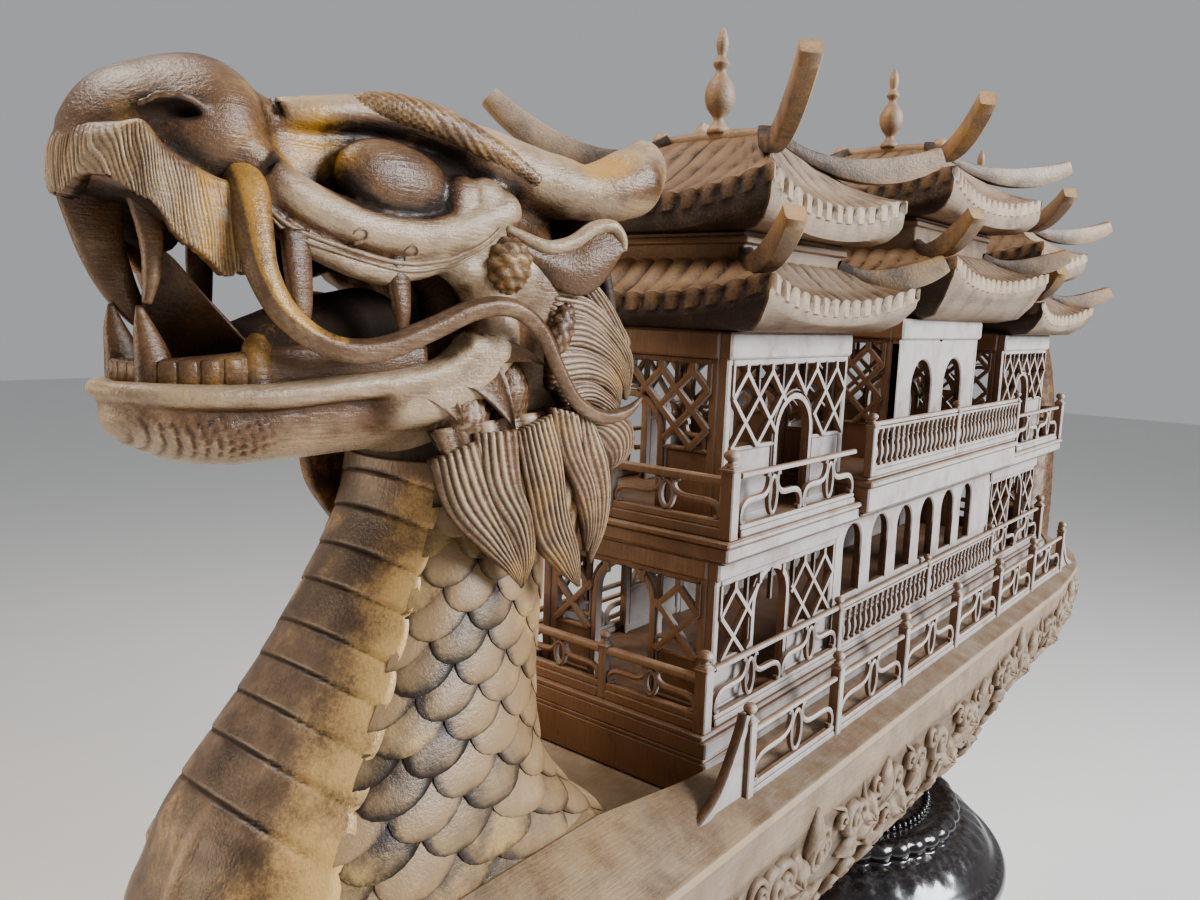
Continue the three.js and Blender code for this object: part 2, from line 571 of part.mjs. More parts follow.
// A hipped roof tier. Its soffit is a bowl that opens from the wall head to the eaves, and
// its eaves dip in the middle and lift to the corners. A horn rides each hip: tips gives
// the fore and the after horns' reach past the corner in x and y, and their height.
function roofTier({ middle, halfX, halfY, seatX, foot, eave, crown, lift, flat, tips }) {
  const steps = [-1, -0.75, -0.4, 0, 0.4, 0.75, 1];
  const rows = steps.length;
  const positions = [];
  [1, 0].forEach((upper) => {
    steps.forEach((v) => steps.forEach((u) => {
      const edge = Math.max(Math.abs(u), Math.abs(v));
      const corner = edge === 0 ? 0 : (Math.min(Math.abs(u), Math.abs(v)) / edge) ** 3;
      const eaveHere = eave + lift * corner;
      const slope = Math.max(0, Math.min(1, (edge - flat) / (1 - flat)));
      const out = Math.max(0, (edge * halfX - seatX) / (halfX - seatX));
      const top = crown + (eaveHere - crown) * slope ** 0.75;
      const under = foot + (eaveHere - 12 - foot) * out ** 1.6;
      positions.push(halfX * u, middle + halfY * v, upper ? top : under);
    }));
  });
  const faces = [];
  const layer = rows * rows;
  for (let j = 0; j < rows - 1; j += 1) {
    for (let i = 0; i < rows - 1; i += 1) {
      const a = j * rows + i;
      const quad = [a, a + 1, a + rows + 1, a + rows];
      const turned = (i < (rows - 1) / 2) !== (j < (rows - 1) / 2);
      const [p, q, r, s] = turned ? [quad[1], quad[2], quad[3], quad[0]] : quad;
      faces.push([p, q, r], [p, r, s]);
      faces.push([p + layer, r + layer, q + layer], [p + layer, s + layer, r + layer]);
    }
  }
  for (let i = 0; i < rows - 1; i += 1) {
    const last = rows * (rows - 1);
    const walls = [
      [i, i + 1], [last + i + 1, last + i], [rows * (i + 1), rows * i],
      [rows * i + rows - 1, rows * (i + 2) - 1],
    ];
    walls.forEach(([a, b]) => faces.push([a + layer, b + layer, b], [a + layer, b, a]));
  }
  const geometry = new THREE.BufferGeometry();
  geometry.setAttribute('position', new THREE.Float32BufferAttribute(positions, 3));
  geometry.setIndex(faces.flat());
  const hips = [-1, 1].flatMap((sx) => tips.map(([pastX, pastY, height], end) => {
    const sy = end === 0 ? -1 : 1;
    const rise = (share) => crown + (eave + lift - crown) * share ** 1.2;
    return limb([
      [sx * halfX * 0.45, middle + sy * halfY * 0.45, rise(0.3) - 4, 7, 9],
      [sx * halfX * 0.85, middle + sy * halfY * 0.85, eave + lift * 0.7, 7, 9],
      [sx * (halfX - 4), middle + sy * (halfY - 4), eave + lift + 8, 7, 8],
      [sx * (halfX + pastX), middle + sy * (halfY + pastY), height, 6, 6],
    ], 4, 2);
  }));
  return join(solidOf(geometry), hips);
}

function finial(y, foot, height, girth) {
  const profile = [
    [0, 0], [0.9, 0], [1, 0.08], [0.62, 0.2], [0.5, 0.4], [0.95, 0.46], [0.9, 0.54], [0.55, 0.6],
    [0.8, 0.68], [0.36, 0.84], [0.5, 0.92], [0.3, 0.99], [0, 1],
  ].map(([r, z]) => new THREE.Vector2(r * girth, z * height));
  const geometry = new THREE.LatheGeometry(profile, 12);
  geometry.rotateX(Math.PI / 2);
  geometry.translate(0, y, foot);
  return solidOf(geometry);
}

// Roofs: two tiers over each room, with a turned finial. A plain box on the lower tier
// carries the upper one. Columns: name, middle, then half width, half length and extra
// height of the lower tier and of the upper one, the wall top below, and how much higher
// than the others the upper tier's ahead horns rise.
const MID_WALL_TOP = UPPER_WALL_TOP + 15;
const ROOFS = [
  { name: 'fore', middle: 107, low: [134, 134, 0], high: [122, 119, 0], seat: UPPER_WALL_TOP, hornRise: 20 },
  { name: 'mid', middle: 464, low: [142, 160, 32], high: [130, 149, 42], seat: MID_WALL_TOP, hornRise: 6 },
  { name: 'aft', middle: 779, low: [134, 129, 0], high: [122, 115, 0], seat: UPPER_WALL_TOP, hornRise: 6 },
];
const LOWER_EAVE = 364;
const LOWER_CROWN = 396;
const BOX_HALF_WIDTH = 82;
const BOX_INSET = 36;
const BOX_TOP = 415;
const UPPER_EAVE = 438;
const UPPER_CROWN = 503;
const EAVE_LIFT = 18;
const FINIAL_HEIGHT = 87;
ROOFS.forEach(({ name, middle, low, high, seat, hornRise }) => {
  const [lowHalf, lowLong, lowRaise] = low;
  const [highHalf, highLong, highRaise] = high;
  const lower = roofTier({
    middle, halfX: lowHalf, halfY: lowLong, seatX: lowHalf - 44, foot: seat,
    eave: LOWER_EAVE + lowRaise, crown: LOWER_CROWN + lowRaise, lift: EAVE_LIFT, flat: 0.5,
    tips: [[13, 0, 414 + lowRaise], [11, 9, 399 + lowRaise]],
  });
  const boxTop = BOX_TOP + highRaise;
  const boxHalf = highLong - BOX_INSET;
  const box = block(
    -BOX_HALF_WIDTH, BOX_HALF_WIDTH, middle - boxHalf, middle + boxHalf,
    LOWER_CROWN + lowRaise - 10, boxTop,
  );
  addPiece(boat, `${name}_lower_roof`, join(lower, box), WOOD);
  const crown = UPPER_CROWN + highRaise;
  const upper = roofTier({
    middle, halfX: highHalf, halfY: highLong, seatX: highHalf - 40, foot: boxTop + GAP,
    eave: UPPER_EAVE + highRaise, crown, lift: EAVE_LIFT, flat: 0.12,
    tips: [[23, 4, 500 + highRaise + hornRise], [15, 13, 489 + highRaise]],
  });
  addPiece(boat, `${name}_upper_roof`, upper, WOOD);
  addPiece(boat, `${name}_finial`, finial(middle, crown + GAP, FINIAL_HEIGHT, 13), WOOD);
});

// Outer balustrades on the gunwales, with a bracket that sweeps down at each end.
const OUTER_RAIL_X = 136;
const OUTER_HAND = 60;
const OUTER_PITCH = 146;
const outerPosts = [-3, -2, -1, 0, 1, 2, 3].map((i) => ({ at: MIDSHIP + i * OUTER_PITCH, half: 6, top: 76 }));
const outerFrom = outerPosts[0].at;
const outerTo = outerPosts[6].at;
const brackets = [[outerFrom, -1], [outerTo, 1]].map(([at, way]) => {
  const wing = [[0, 0], [74, 0], [66, 14], [44, 26], [24, 50], [0, 66]];
  const outline = new THREE.Shape(wing.map(([s, z]) => new THREE.Vector2(s * way, z)));
  const plate = new THREE.ExtrudeGeometry(outline, { depth: 10, bevelEnabled: false });
  plate.applyMatrix4(new THREE.Matrix4().makeBasis(new THREE.Vector3(0, 1, 0), Z_AXIS, X_AXIS));
  plate.translate(OUTER_RAIL_X - 5, at, 0);
  return solidOf(plate);
});
const outerRail = railing('y', outerFrom, outerTo, OUTER_RAIL_X, 3, OUTER_HAND, 17, outerPosts);
addPair('outer_balustrade', cut(join(outerRail, brackets), hullBody(GAP)), PALE_WOOD);

// Display stand: a turned top, column and foot in black lacquer. Profile columns: radius,
// then height above the floor.
const STAND_SEGMENTS = 28;
const STAND_PIECES = {
  stand_foot: [[0, 0], [215, 0], [222, 14], [214, 30], [190, 40], [160, 62], [120, 74], [0, 74]],
  stand_column: [
    [0, 74], [112, 74], [104, 92], [72, 120], [64, 170], [84, 230], [118, 300], [128, 360], [112, 430],
    [78, 486], [66, 530], [80, 566], [120, 590], [0, 590],
  ],
  stand_top: [
    [0, 590], [130, 592], [190, 606], [208.5, 622], [208.5, 630], [196, 640], [187, 652], [160, 672],
    [152, 690], [132, 692], [104, 694], [100, 704], [89, 718], [84, 730], [0, 730],
  ],
};
Object.entries(STAND_PIECES).forEach(([name, outline]) => {
  const lifted = outline.map(([r, z], i) => {
    const under = i < 2 && z > 0 ? GAP : 0;
    const seat = name === 'stand_top' && z === STAND_HEIGHT ? -GAP : 0;
    return new THREE.Vector2(r, z + under + seat);
  });
  const geometry = new THREE.LatheGeometry(lifted, STAND_SEGMENTS);
  geometry.rotateX(Math.PI / 2);
  addPiece(model, name, solidOf(geometry), LACQUER);
});

export default model;
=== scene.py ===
# Carved wooden dragon boat on its round lacquered stand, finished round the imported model.
# Shapes are worked out in the boat's own frame, in millimetres: Y = 0 at the pavilion's
# front wall, Z = 0 at the deck, bow along -Y, port along +X. They are placed in metres.

import bpy
import numpy as np
from mathutils import Matrix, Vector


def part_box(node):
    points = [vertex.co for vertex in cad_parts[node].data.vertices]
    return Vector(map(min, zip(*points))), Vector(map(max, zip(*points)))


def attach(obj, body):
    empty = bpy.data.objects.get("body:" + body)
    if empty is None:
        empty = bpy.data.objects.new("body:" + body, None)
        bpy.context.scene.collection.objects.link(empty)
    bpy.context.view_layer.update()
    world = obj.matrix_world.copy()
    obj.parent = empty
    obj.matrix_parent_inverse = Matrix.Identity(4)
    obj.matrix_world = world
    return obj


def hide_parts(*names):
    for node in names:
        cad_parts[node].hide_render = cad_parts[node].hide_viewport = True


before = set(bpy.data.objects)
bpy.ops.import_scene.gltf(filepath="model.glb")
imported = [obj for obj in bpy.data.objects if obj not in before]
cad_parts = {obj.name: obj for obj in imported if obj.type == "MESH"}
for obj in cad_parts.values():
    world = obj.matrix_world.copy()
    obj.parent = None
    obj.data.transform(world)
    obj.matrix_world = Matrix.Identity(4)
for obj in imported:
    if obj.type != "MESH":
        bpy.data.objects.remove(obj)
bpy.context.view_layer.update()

# The boat's origin in the row frame: the front wall's outer face, and the deck just under
# the pavilion's base.
MM = 0.001
DECK_GAP = 0.0003
ORIGIN = np.array([0.0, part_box("lower_front_wall")[0].y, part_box("pavilion_base")[0].z - DECK_GAP]) / MM
SIDES = (("port", 1), ("starboard", -1))
NO_TRIANGLES = np.zeros((0, 3), int)


# Meshes.

def placed(points):
    """Boat millimetres to row metres."""
    return (np.asarray(points, float) + ORIGIN) * MM


def volume(points, quads, triangles):
    """The signed volume inside a part's faces: positive when they face outwards."""
    a, b, c = points[np.vstack([quads[:, :3], quads[:, [0, 2, 3]], triangles]).T]
    return (np.cross(a, b) * c).sum()


class Stock:
    """Carved parts that are gathered into one mesh: points, quads, triangles and tones."""

    def __init__(self):
        self.points, self.quads, self.triangles, self.tones, self.gilt = [], [], [], [], []
        self.count = 0

    def add(self, points, quads, triangles=NO_TRIANGLES, tone=0.5, gilt=0.0, mirrored=False):
        """One closed part, turned so that its volume is positive. Tone runs from 0, a dark
        hollow, to 1, a worn crest, and in places it carries painted light and shade; gilt is
        gold left on it, and on the neck's belly also a painted sunlit patch."""
        points = np.asarray(points, float).reshape(-1, 3)
        way = slice(None, None, -1 if volume(points, quads, triangles) < 0 else 1)
        self.points.append(points)
        self.quads.append(quads[:, way] + self.count)
        self.triangles.append(triangles[:, way] + self.count)
        self.tones.append(np.broadcast_to(np.ravel(tone), len(points)))
        self.gilt.append(np.broadcast_to(np.ravel(gilt), len(points)))
        self.count += len(points)
        if mirrored:
            self.add(points * [-1, 1, 1], quads, triangles, tone, gilt)
        return self

    def piece(self, name, finish, nodes=None, crease=None):
        """The finished Blender object, riding on the one body. It stands for the node of its
        own name unless others, or none, are given. Finish is a slot, which is not used, and
        its paint; edges sharper than the crease's degrees stay sharp."""
        slot, paint = finish
        points = placed(np.concatenate(self.points))
        quads, triangles = np.concatenate(self.quads), np.concatenate(self.triangles)
        corners = np.concatenate([quads.ravel(), triangles.ravel()]).astype(np.int32)
        sizes = np.repeat([4, 3], [len(quads), len(triangles)])
        mesh = bpy.data.meshes.new(name)
        mesh.vertices.add(len(points))
        mesh.vertices.foreach_set("co", points.ravel().astype(np.float32))
        mesh.loops.add(len(corners))
        mesh.loops.foreach_set("vertex_index", corners)
        mesh.polygons.add(len(sizes))
        mesh.polygons.foreach_set("loop_start", (np.cumsum(sizes) - sizes).astype(np.int32))
        mesh.update(calc_edges=True)
        mesh.validate()
        for label, values in (("tone", self.tones), ("gilt", self.gilt)):
            layer = mesh.attributes.new(label, "FLOAT", "POINT")
            layer.data.foreach_set("value", np.concatenate(values).astype(np.float32))
        mesh.shade_smooth()
        if crease is not None:
            mesh.set_sharp_from_angle(angle=np.radians(crease))
        mesh.materials.append(paint)
        piece = bpy.data.objects.new(name, mesh)
        bpy.context.scene.collection.objects.link(piece)
        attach(piece, "root")
        nodes = (name,) if nodes is None else nodes
        if nodes:
            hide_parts(*nodes)
        return piece


def together(*columns):
    """Columns or grids of numbers, spread to one shape and joined as points."""
    return np.stack(np.broadcast_arrays(*columns), -1)


def grid_quads(rows, columns, round_rows=False, round_columns=False):
    """Quads of a grid of points stored row by row; a round side joins its last to its first."""
    i = np.arange(rows if round_rows else rows - 1)[:, None]
    j = np.arange(columns if round_columns else columns - 1)[None, :]
    i2, j2 = (i + 1) % rows, (j + 1) % columns
    return together(
        i * columns + j, i * columns + j2, i2 * columns + j2, i2 * columns + j).reshape(-1, 4)


def tube(grid, first, last):
    """A closed skin on rings of points: round each ring, from each to the next, and shut on
    to a hub at both ends."""
    rows, count = grid.shape[:2]
    hub, ring = rows * count, np.arange(count)
    after = np.roll(ring, -1)
    ends = np.vstack([together(after, ring, hub), together(hub - count + ring, hub - count + after, hub + 1)])
    return np.vstack([grid.reshape(-1, 3), first, last]), grid_quads(rows, count, round_columns=True), ends


def smooth(rows, count):
    """A table's rows drawn out to count rows on a smooth curve through them (Catmull-Rom)."""
    rows = np.asarray(rows, float)
    padded = np.vstack([2 * rows[0] - rows[1], rows, 2 * rows[-1] - rows[-2]])
    t = np.linspace(0, len(rows) - 1 - 1e-9, count)
    k = t.astype(int)
    f = (t - k)[:, None]
    a, b, c, d = (padded[k + i] for i in range(4))
    return 0.5 * (2 * b + (c - a) * f + (2 * a - 5 * b + 4 * c - d) * f ** 2
                  + (3 * b - a - 3 * c + d) * f ** 3)


def unit(vectors):
    """Each vector divided by its own length."""
    return vectors / np.maximum(np.linalg.norm(vectors, axis=-1, keepdims=True), 1e-9)


def swept(path, profile, side=(1, 0, 0), facing=None, scale=1.0):
    """A profile (across, up) carried along a path. Across lies along the side direction made
    square to the path and up is square to both, or up lies along the facing direction, and
    scale gives (across, up), or one factor for both, at each step."""
    path = np.asarray(path, float)
    tangent = unit(np.gradient(path, axis=0))
    hint = np.broadcast_to(np.asarray(side if facing is None else facing, float), path.shape)
    square = unit(hint - tangent * (hint * tangent).sum(-1, keepdims=True))
    across = square if facing is None else np.cross(square, tangent)
    up = np.cross(tangent, across)
    size = np.asarray(profile, float) * np.broadcast_to(scale, (len(path), 2))[:, None]
    grid = path[:, None] + across[:, None] * size[..., :1] + up[:, None] * size[..., 1:]
    return tube(grid, path[0], path[-1])


def circle(count, power=2.0, start=0.0):
    """Points round a unit circle, drawn towards a square as the power rises above 2."""
    angle = 2 * np.pi * (np.arange(count) + start) / count
    bend = lambda v: np.sign(v) * np.abs(v) ** (2 / power)
    return together(bend(np.cos(angle)), bend(np.sin(angle)))


def grid_normals(grid, out):
    """The directions square to a grid of points, turned to the side that out points to."""
    normals = unit(np.cross(np.gradient(grid, axis=1), np.gradient(grid, axis=0)))
    return normals if (normals * np.asarray(out, float)).sum(-1).mean() > 0 else -normals


def slab(outer, inner):
    """A closed plate between two grids of points."""
    rows, columns = outer.shape[:2]
    quads = grid_quads(rows, columns)
    total = rows * columns
    i, j = np.arange(rows), np.arange(columns)
    edge = np.concatenate([j[:-1], i[:-1] * columns + columns - 1, (rows - 1) * columns + j[:0:-1],
                           i[:0:-1] * columns])
    after = np.roll(edge, -1)
    rim = np.stack([after, edge, edge + total, after + total], -1)
    faces = np.vstack([quads, quads[:, ::-1] + total, rim])
    return np.vstack([outer.reshape(-1, 3), inner.reshape(-1, 3)]), faces


def backed(face, back):
    """A value for each point of a slab: worked out on its face, and one number behind."""
    return np.append(np.ravel(face), np.full(np.size(face), back))


def lathe(profile, count, centre=(0, 0), relief=None):
    """A profile of (radius, z) turned about an upright axis. The profile starts and ends on
    the axis. Relief, if given, is a function of (angle, row) that moves the radius."""
    profile = np.asarray(profile, float)
    angle = 2 * np.pi * np.arange(count) / count
    radius = profile[1:-1, :1] + 0 * angle
    if relief is not None:
        radius = radius + relief(angle, np.arange(1, len(profile) - 1)[:, None])
    x, y = centre[0] + radius * np.cos(angle), centre[1] + radius * np.sin(angle)
    return tube(together(x, y, profile[1:-1, 1:]), [*centre, profile[0, 1]], [*centre, profile[-1, 1]])


def ripple(phase, sharp=1.0):
    """A round ridge for each whole number of the phase: 1 on the crest, 0 in the cut."""
    return np.abs(np.sin(np.pi * phase)) ** sharp


def ramp(low, high, value):
    """0 up to low, 1 from high on, and between them 3t^2 - 2t^3 of the share t."""
    t = np.clip((value - low) / (high - low), 0, 1)
    return t * t * (3 - 2 * t)


def scale_relief(s, t):
    """Overlapping round scales, one to each unit across and down: each rises from under the
    row above to its own rounded edge, 1 at the edge and near 0 where it starts."""
    row = np.floor(t)
    height = None
    for back in (1, 0):
        at = row - back
        dx = np.mod(s + 0.5 * np.mod(at, 2), 1.0) - 0.5
        down = (t - at) / (1.62 - 2.6 * dx ** 2)
        shown = np.where(down < 1, down, -1)
        height = shown if height is None else np.where(height >= 0, height, shown)
    return np.clip(height, 0, 1)


def hashed(*values):
    """A fixed number from 0 to 1 for each place, the same every run."""
    total = sum(np.asarray(v, float) * k for v, k in zip(values, (12.9898, 78.233, 37.719)))
    return np.modf(np.abs(np.sin(total) * 43758.5453))[0]


# Paints.

class Wire:
    """One socket of a paint, so that sums on it read as plain arithmetic."""

    def __init__(self, paint, socket):
        self.paint, self.socket = paint, socket

    def _sum(self, operation, first, second):
        return self.paint.node("ShaderNodeMath", {"operation": operation}, {0: first, 1: second})

    def __add__(self, other):
        return self._sum("ADD", self, other)

    def __sub__(self, other):
        return self._sum("SUBTRACT", self, other)

    def __rsub__(self, other):
        return self._sum("SUBTRACT", other, self)

    def __mul__(self, other):
        return self._sum("MULTIPLY", self, other)

    __radd__, __rmul__ = __add__, __mul__

    def step(self, low, high):
        """0 below low, 1 above high, and a smooth rise between."""
        return self.paint.node("ShaderNodeMapRange", {"interpolation_type": "SMOOTHSTEP"},
                               {"Value": self, "From Min": low, "From Max": high})


class Paint:
    """A material under way. Colours go through mix, numbers through Wire's arithmetic."""

    def __init__(self, name):
        self.material = bpy.data.materials.new(name)
        self.material.use_nodes = True
        self.tree = self.material.node_tree
        self.shader = self.tree.nodes["Principled BSDF"]

    def node(self, kind, settings=None, values=None, output=0):
        """A node: its settings first, then values or links for its sockets."""
        made = self.tree.nodes.new(kind)
        for key, value in (settings or {}).items():
            setattr(made, key, value)
        for key, value in (values or {}).items():
            self.feed(made.inputs[key], value)
        return Wire(self, made.outputs[output])

    def feed(self, socket, value):
        if isinstance(value, Wire):
            self.tree.links.new(value.socket, socket)
        elif isinstance(value, tuple) and len(value) == 3 and socket.type == "RGBA":
            socket.default_value = (*value, 1)
        else:
            socket.default_value = value

    def mix(self, share, first, second):
        return self.node("ShaderNodeMix", {"data_type": "RGBA"}, {0: share, 6: first, 7: second}, output=2)

    def noise(self, scale, stretch=(1, 1, 1), detail=4.0, rough=0.55):
        """Noise on the object coordinates, stretched."""
        at = self.node("ShaderNodeTexCoord", output=3)
        at = self.node("ShaderNodeMapping", {}, {"Vector": at, "Scale": stretch})
        return self.node("ShaderNodeTexNoise", {},
                         {"Vector": at, "Scale": scale, "Detail": detail, "Roughness": rough})

    def attribute(self, name):
        return self.node("ShaderNodeAttribute", {"attribute_name": name}, output=2)

    def facing(self, axis):
        """How far the surface faces along an object axis, from -1 to 1."""
        normal = self.node("ShaderNodeTexCoord", output=1)
        return self.node("ShaderNodeSeparateXYZ", {}, {0: normal}, output=axis)

    def finish(self, **sockets):
        for key, value in sockets.items():
            self.feed(self.shader.inputs[key.replace("_", " ")], value)
        return self.material


def bumped(paint, height, distance, below=None):
    """A normal that leans with a height of so many metres, on top of another one's."""
    values = {"Height": height, "Distance": distance, "Strength": 1.0}
    if below is not None:
        values["Normal"] = below
    return paint.node("ShaderNodeBump", {}, values)


# How closely the grain is packed across and along itself, and the colours of old gold, of
# dust and of the pale tint painted on what faces port, which stands for window light.
GRAIN_ACROSS, GRAIN_ALONG = 60.0, 5.0
GOLD, DUST, PORT_LIGHT_TINT = (0.40, 0.22, 0.055), (0.34, 0.30, 0.25), (0.60, 0.55, 0.48)


def carved_wood(name, deep, body, crest, gold=GOLD, dust=0.4, grain_along=1, gloss=0.48, painted_port_light=0.0,
                figure=0.4, gild=0.7, port_light_tint=PORT_LIGHT_TINT, painted_front_shade=0.0):
    """Old carved wood: a dark colour where the tone is low, for the stain in the cuts and for
    painted shade, a rubbed body tone, worn pale crests, dust on what faces up, the last of the
    gilding where the gilt attribute says, with a painted sunlit patch on the neck's belly,
    grain along one axis, a pale tint painted on what faces port for window light, and a
    darkening painted on what faces ahead for shade."""
    paint = Paint(name)
    along = [GRAIN_ACROSS] * 3
    along[grain_along] = GRAIN_ALONG
    cloud = paint.noise(9.0, detail=5.0)
    smudge = paint.noise(32.0, detail=6.0, rough=0.65)
    grain = paint.noise(9.0, tuple(along), detail=6.0, rough=0.6)
    pits = paint.noise(520.0, detail=3.0, rough=0.7)
    tone = paint.attribute("tone")
    worn = tone + (smudge - 0.5) * 0.7 + (grain - 0.5) * figure
    colour = paint.mix(worn.step(0.1, 0.5), deep, body)
    colour = paint.mix(worn.step(0.5, 1.0) * 0.85, colour, crest)
    colour = paint.mix(cloud.step(0.35, 0.75) * 0.35, colour, tuple(0.55 * c for c in body))
    gilt = paint.attribute("gilt") + (smudge - 0.5) * 1.3 + (cloud - 0.5) * 0.8 + (pits - 0.5) * 0.5
    leaf = gilt.step(0.3, 0.85)
    colour = paint.mix(leaf * gild, colour, gold)
    up = paint.facing(2).step(0.2, 0.95) * smudge.step(0.3, 0.7) * dust
    colour = paint.mix(up * tone.step(0.15, 0.6), colour, DUST)
    # A pale tint on what faces port: painted window light.
    if painted_port_light:
        lit = paint.facing(0).step(0.25, 0.9) * (smudge - 0.5).step(-0.5, 0.1)
        colour = paint.mix(lit * tone.step(0.05, 0.45) * painted_port_light, colour, port_light_tint)
    # A darkening on what faces ahead: painted shade.
    if painted_front_shade:
        colour = paint.mix((paint.facing(1) * -1).step(0.1, 0.9) * painted_front_shade, colour, deep)
    matt = 1 - tone.step(0.0, 0.25)
    rough = (pits - 0.5) * 0.25 + (cloud - 0.5) * 0.3 + up * 0.3 + matt * 0.6 - leaf * 0.08 + gloss
    relief = bumped(paint, grain * figure * 1.5 + smudge * 0.5, 0.0009)
    relief = bumped(paint, pits, 0.0003, relief)
    return paint.finish(Base_Color=colour, Roughness=rough, Normal=relief)


# The finishes: a slot of the record and a paint. The colours are the dark of the cuts, which
# is their stain and also painted shade, the body and the worn crests.
DRAGON = "carved_wood", carved_wood(
    "dragon_wood", (0.018, 0.008, 0.004), (0.145, 0.076, 0.037), (0.48, 0.36, 0.24), gloss=0.3,
    gold=(0.46, 0.25, 0.055), dust=0.18, gild=0.8)
BELLY_WOOD = "carved_wood", carved_wood(
    "belly_wood", (0.030, 0.016, 0.008), (0.185, 0.115, 0.066), (0.52, 0.37, 0.20),
    gold=(0.62, 0.40, 0.16), dust=0.15, grain_along=2, figure=0.25, gild=0.85, gloss=0.34)
SCALE_WOOD = "carved_wood", carved_wood(
    "scale_wood", (0.025, 0.014, 0.008), (0.31, 0.205, 0.11), (0.62, 0.47, 0.30),
    gold=(0.58, 0.39, 0.15), dust=0.2, figure=0.12, gild=0.6, gloss=0.38)
HULL_WOOD = "hull_wood", carved_wood(
    "hull_wood", (0.045, 0.026, 0.014), (0.20, 0.125, 0.07), (0.40, 0.29, 0.19), painted_port_light=0.16)
PANEL = "panel_wood", carved_wood(
    "panel_wood", (0.03, 0.013, 0.006), (0.235, 0.115, 0.055), (0.46, 0.27, 0.14), grain_along=2,
    painted_port_light=0.85, port_light_tint=(0.50, 0.49, 0.48), painted_front_shade=0.25)
ROOF = "roof_wood", carved_wood(
    "roof_wood", (0.022, 0.011, 0.007), (0.215, 0.125, 0.066), (0.46, 0.30, 0.16), dust=0.1, painted_port_light=0.3)


def black_lacquer():
    """Black lacquer: brown where the edges are rubbed, under a clear glossy coat."""
    paint = Paint("black_lacquer")
    cloud = paint.noise(7.0, detail=4.0)
    speck = paint.noise(140.0, detail=4.0, rough=0.7)
    rubbed = (paint.attribute("tone") + (speck - 0.5) * 0.8).step(0.75, 1.1)
    colour = paint.mix(cloud.step(0.3, 0.8), (0.010, 0.008, 0.009), (0.022, 0.013, 0.012))
    colour = paint.mix(rubbed * 0.5, colour, (0.16, 0.09, 0.05))
    dust = paint.facing(2).step(0.5, 1.0) * speck.step(0.4, 0.75) * 0.25
    colour = paint.mix(dust, colour, (0.22, 0.20, 0.19))
    relief = bumped(paint, cloud * 0.6 + speck * 0.06, 0.0012)
    return paint.finish(Base_Color=colour, Roughness=dust + (cloud - 0.5) * 0.12 + 0.22, Normal=relief,
                        Coat_Weight=0.6, Coat_Roughness=0.1)


LACQUER = "black_lacquer", black_lacquer()


# The head's carved body.

# The distance kept where nothing is carved.
EMPTY = 60.0


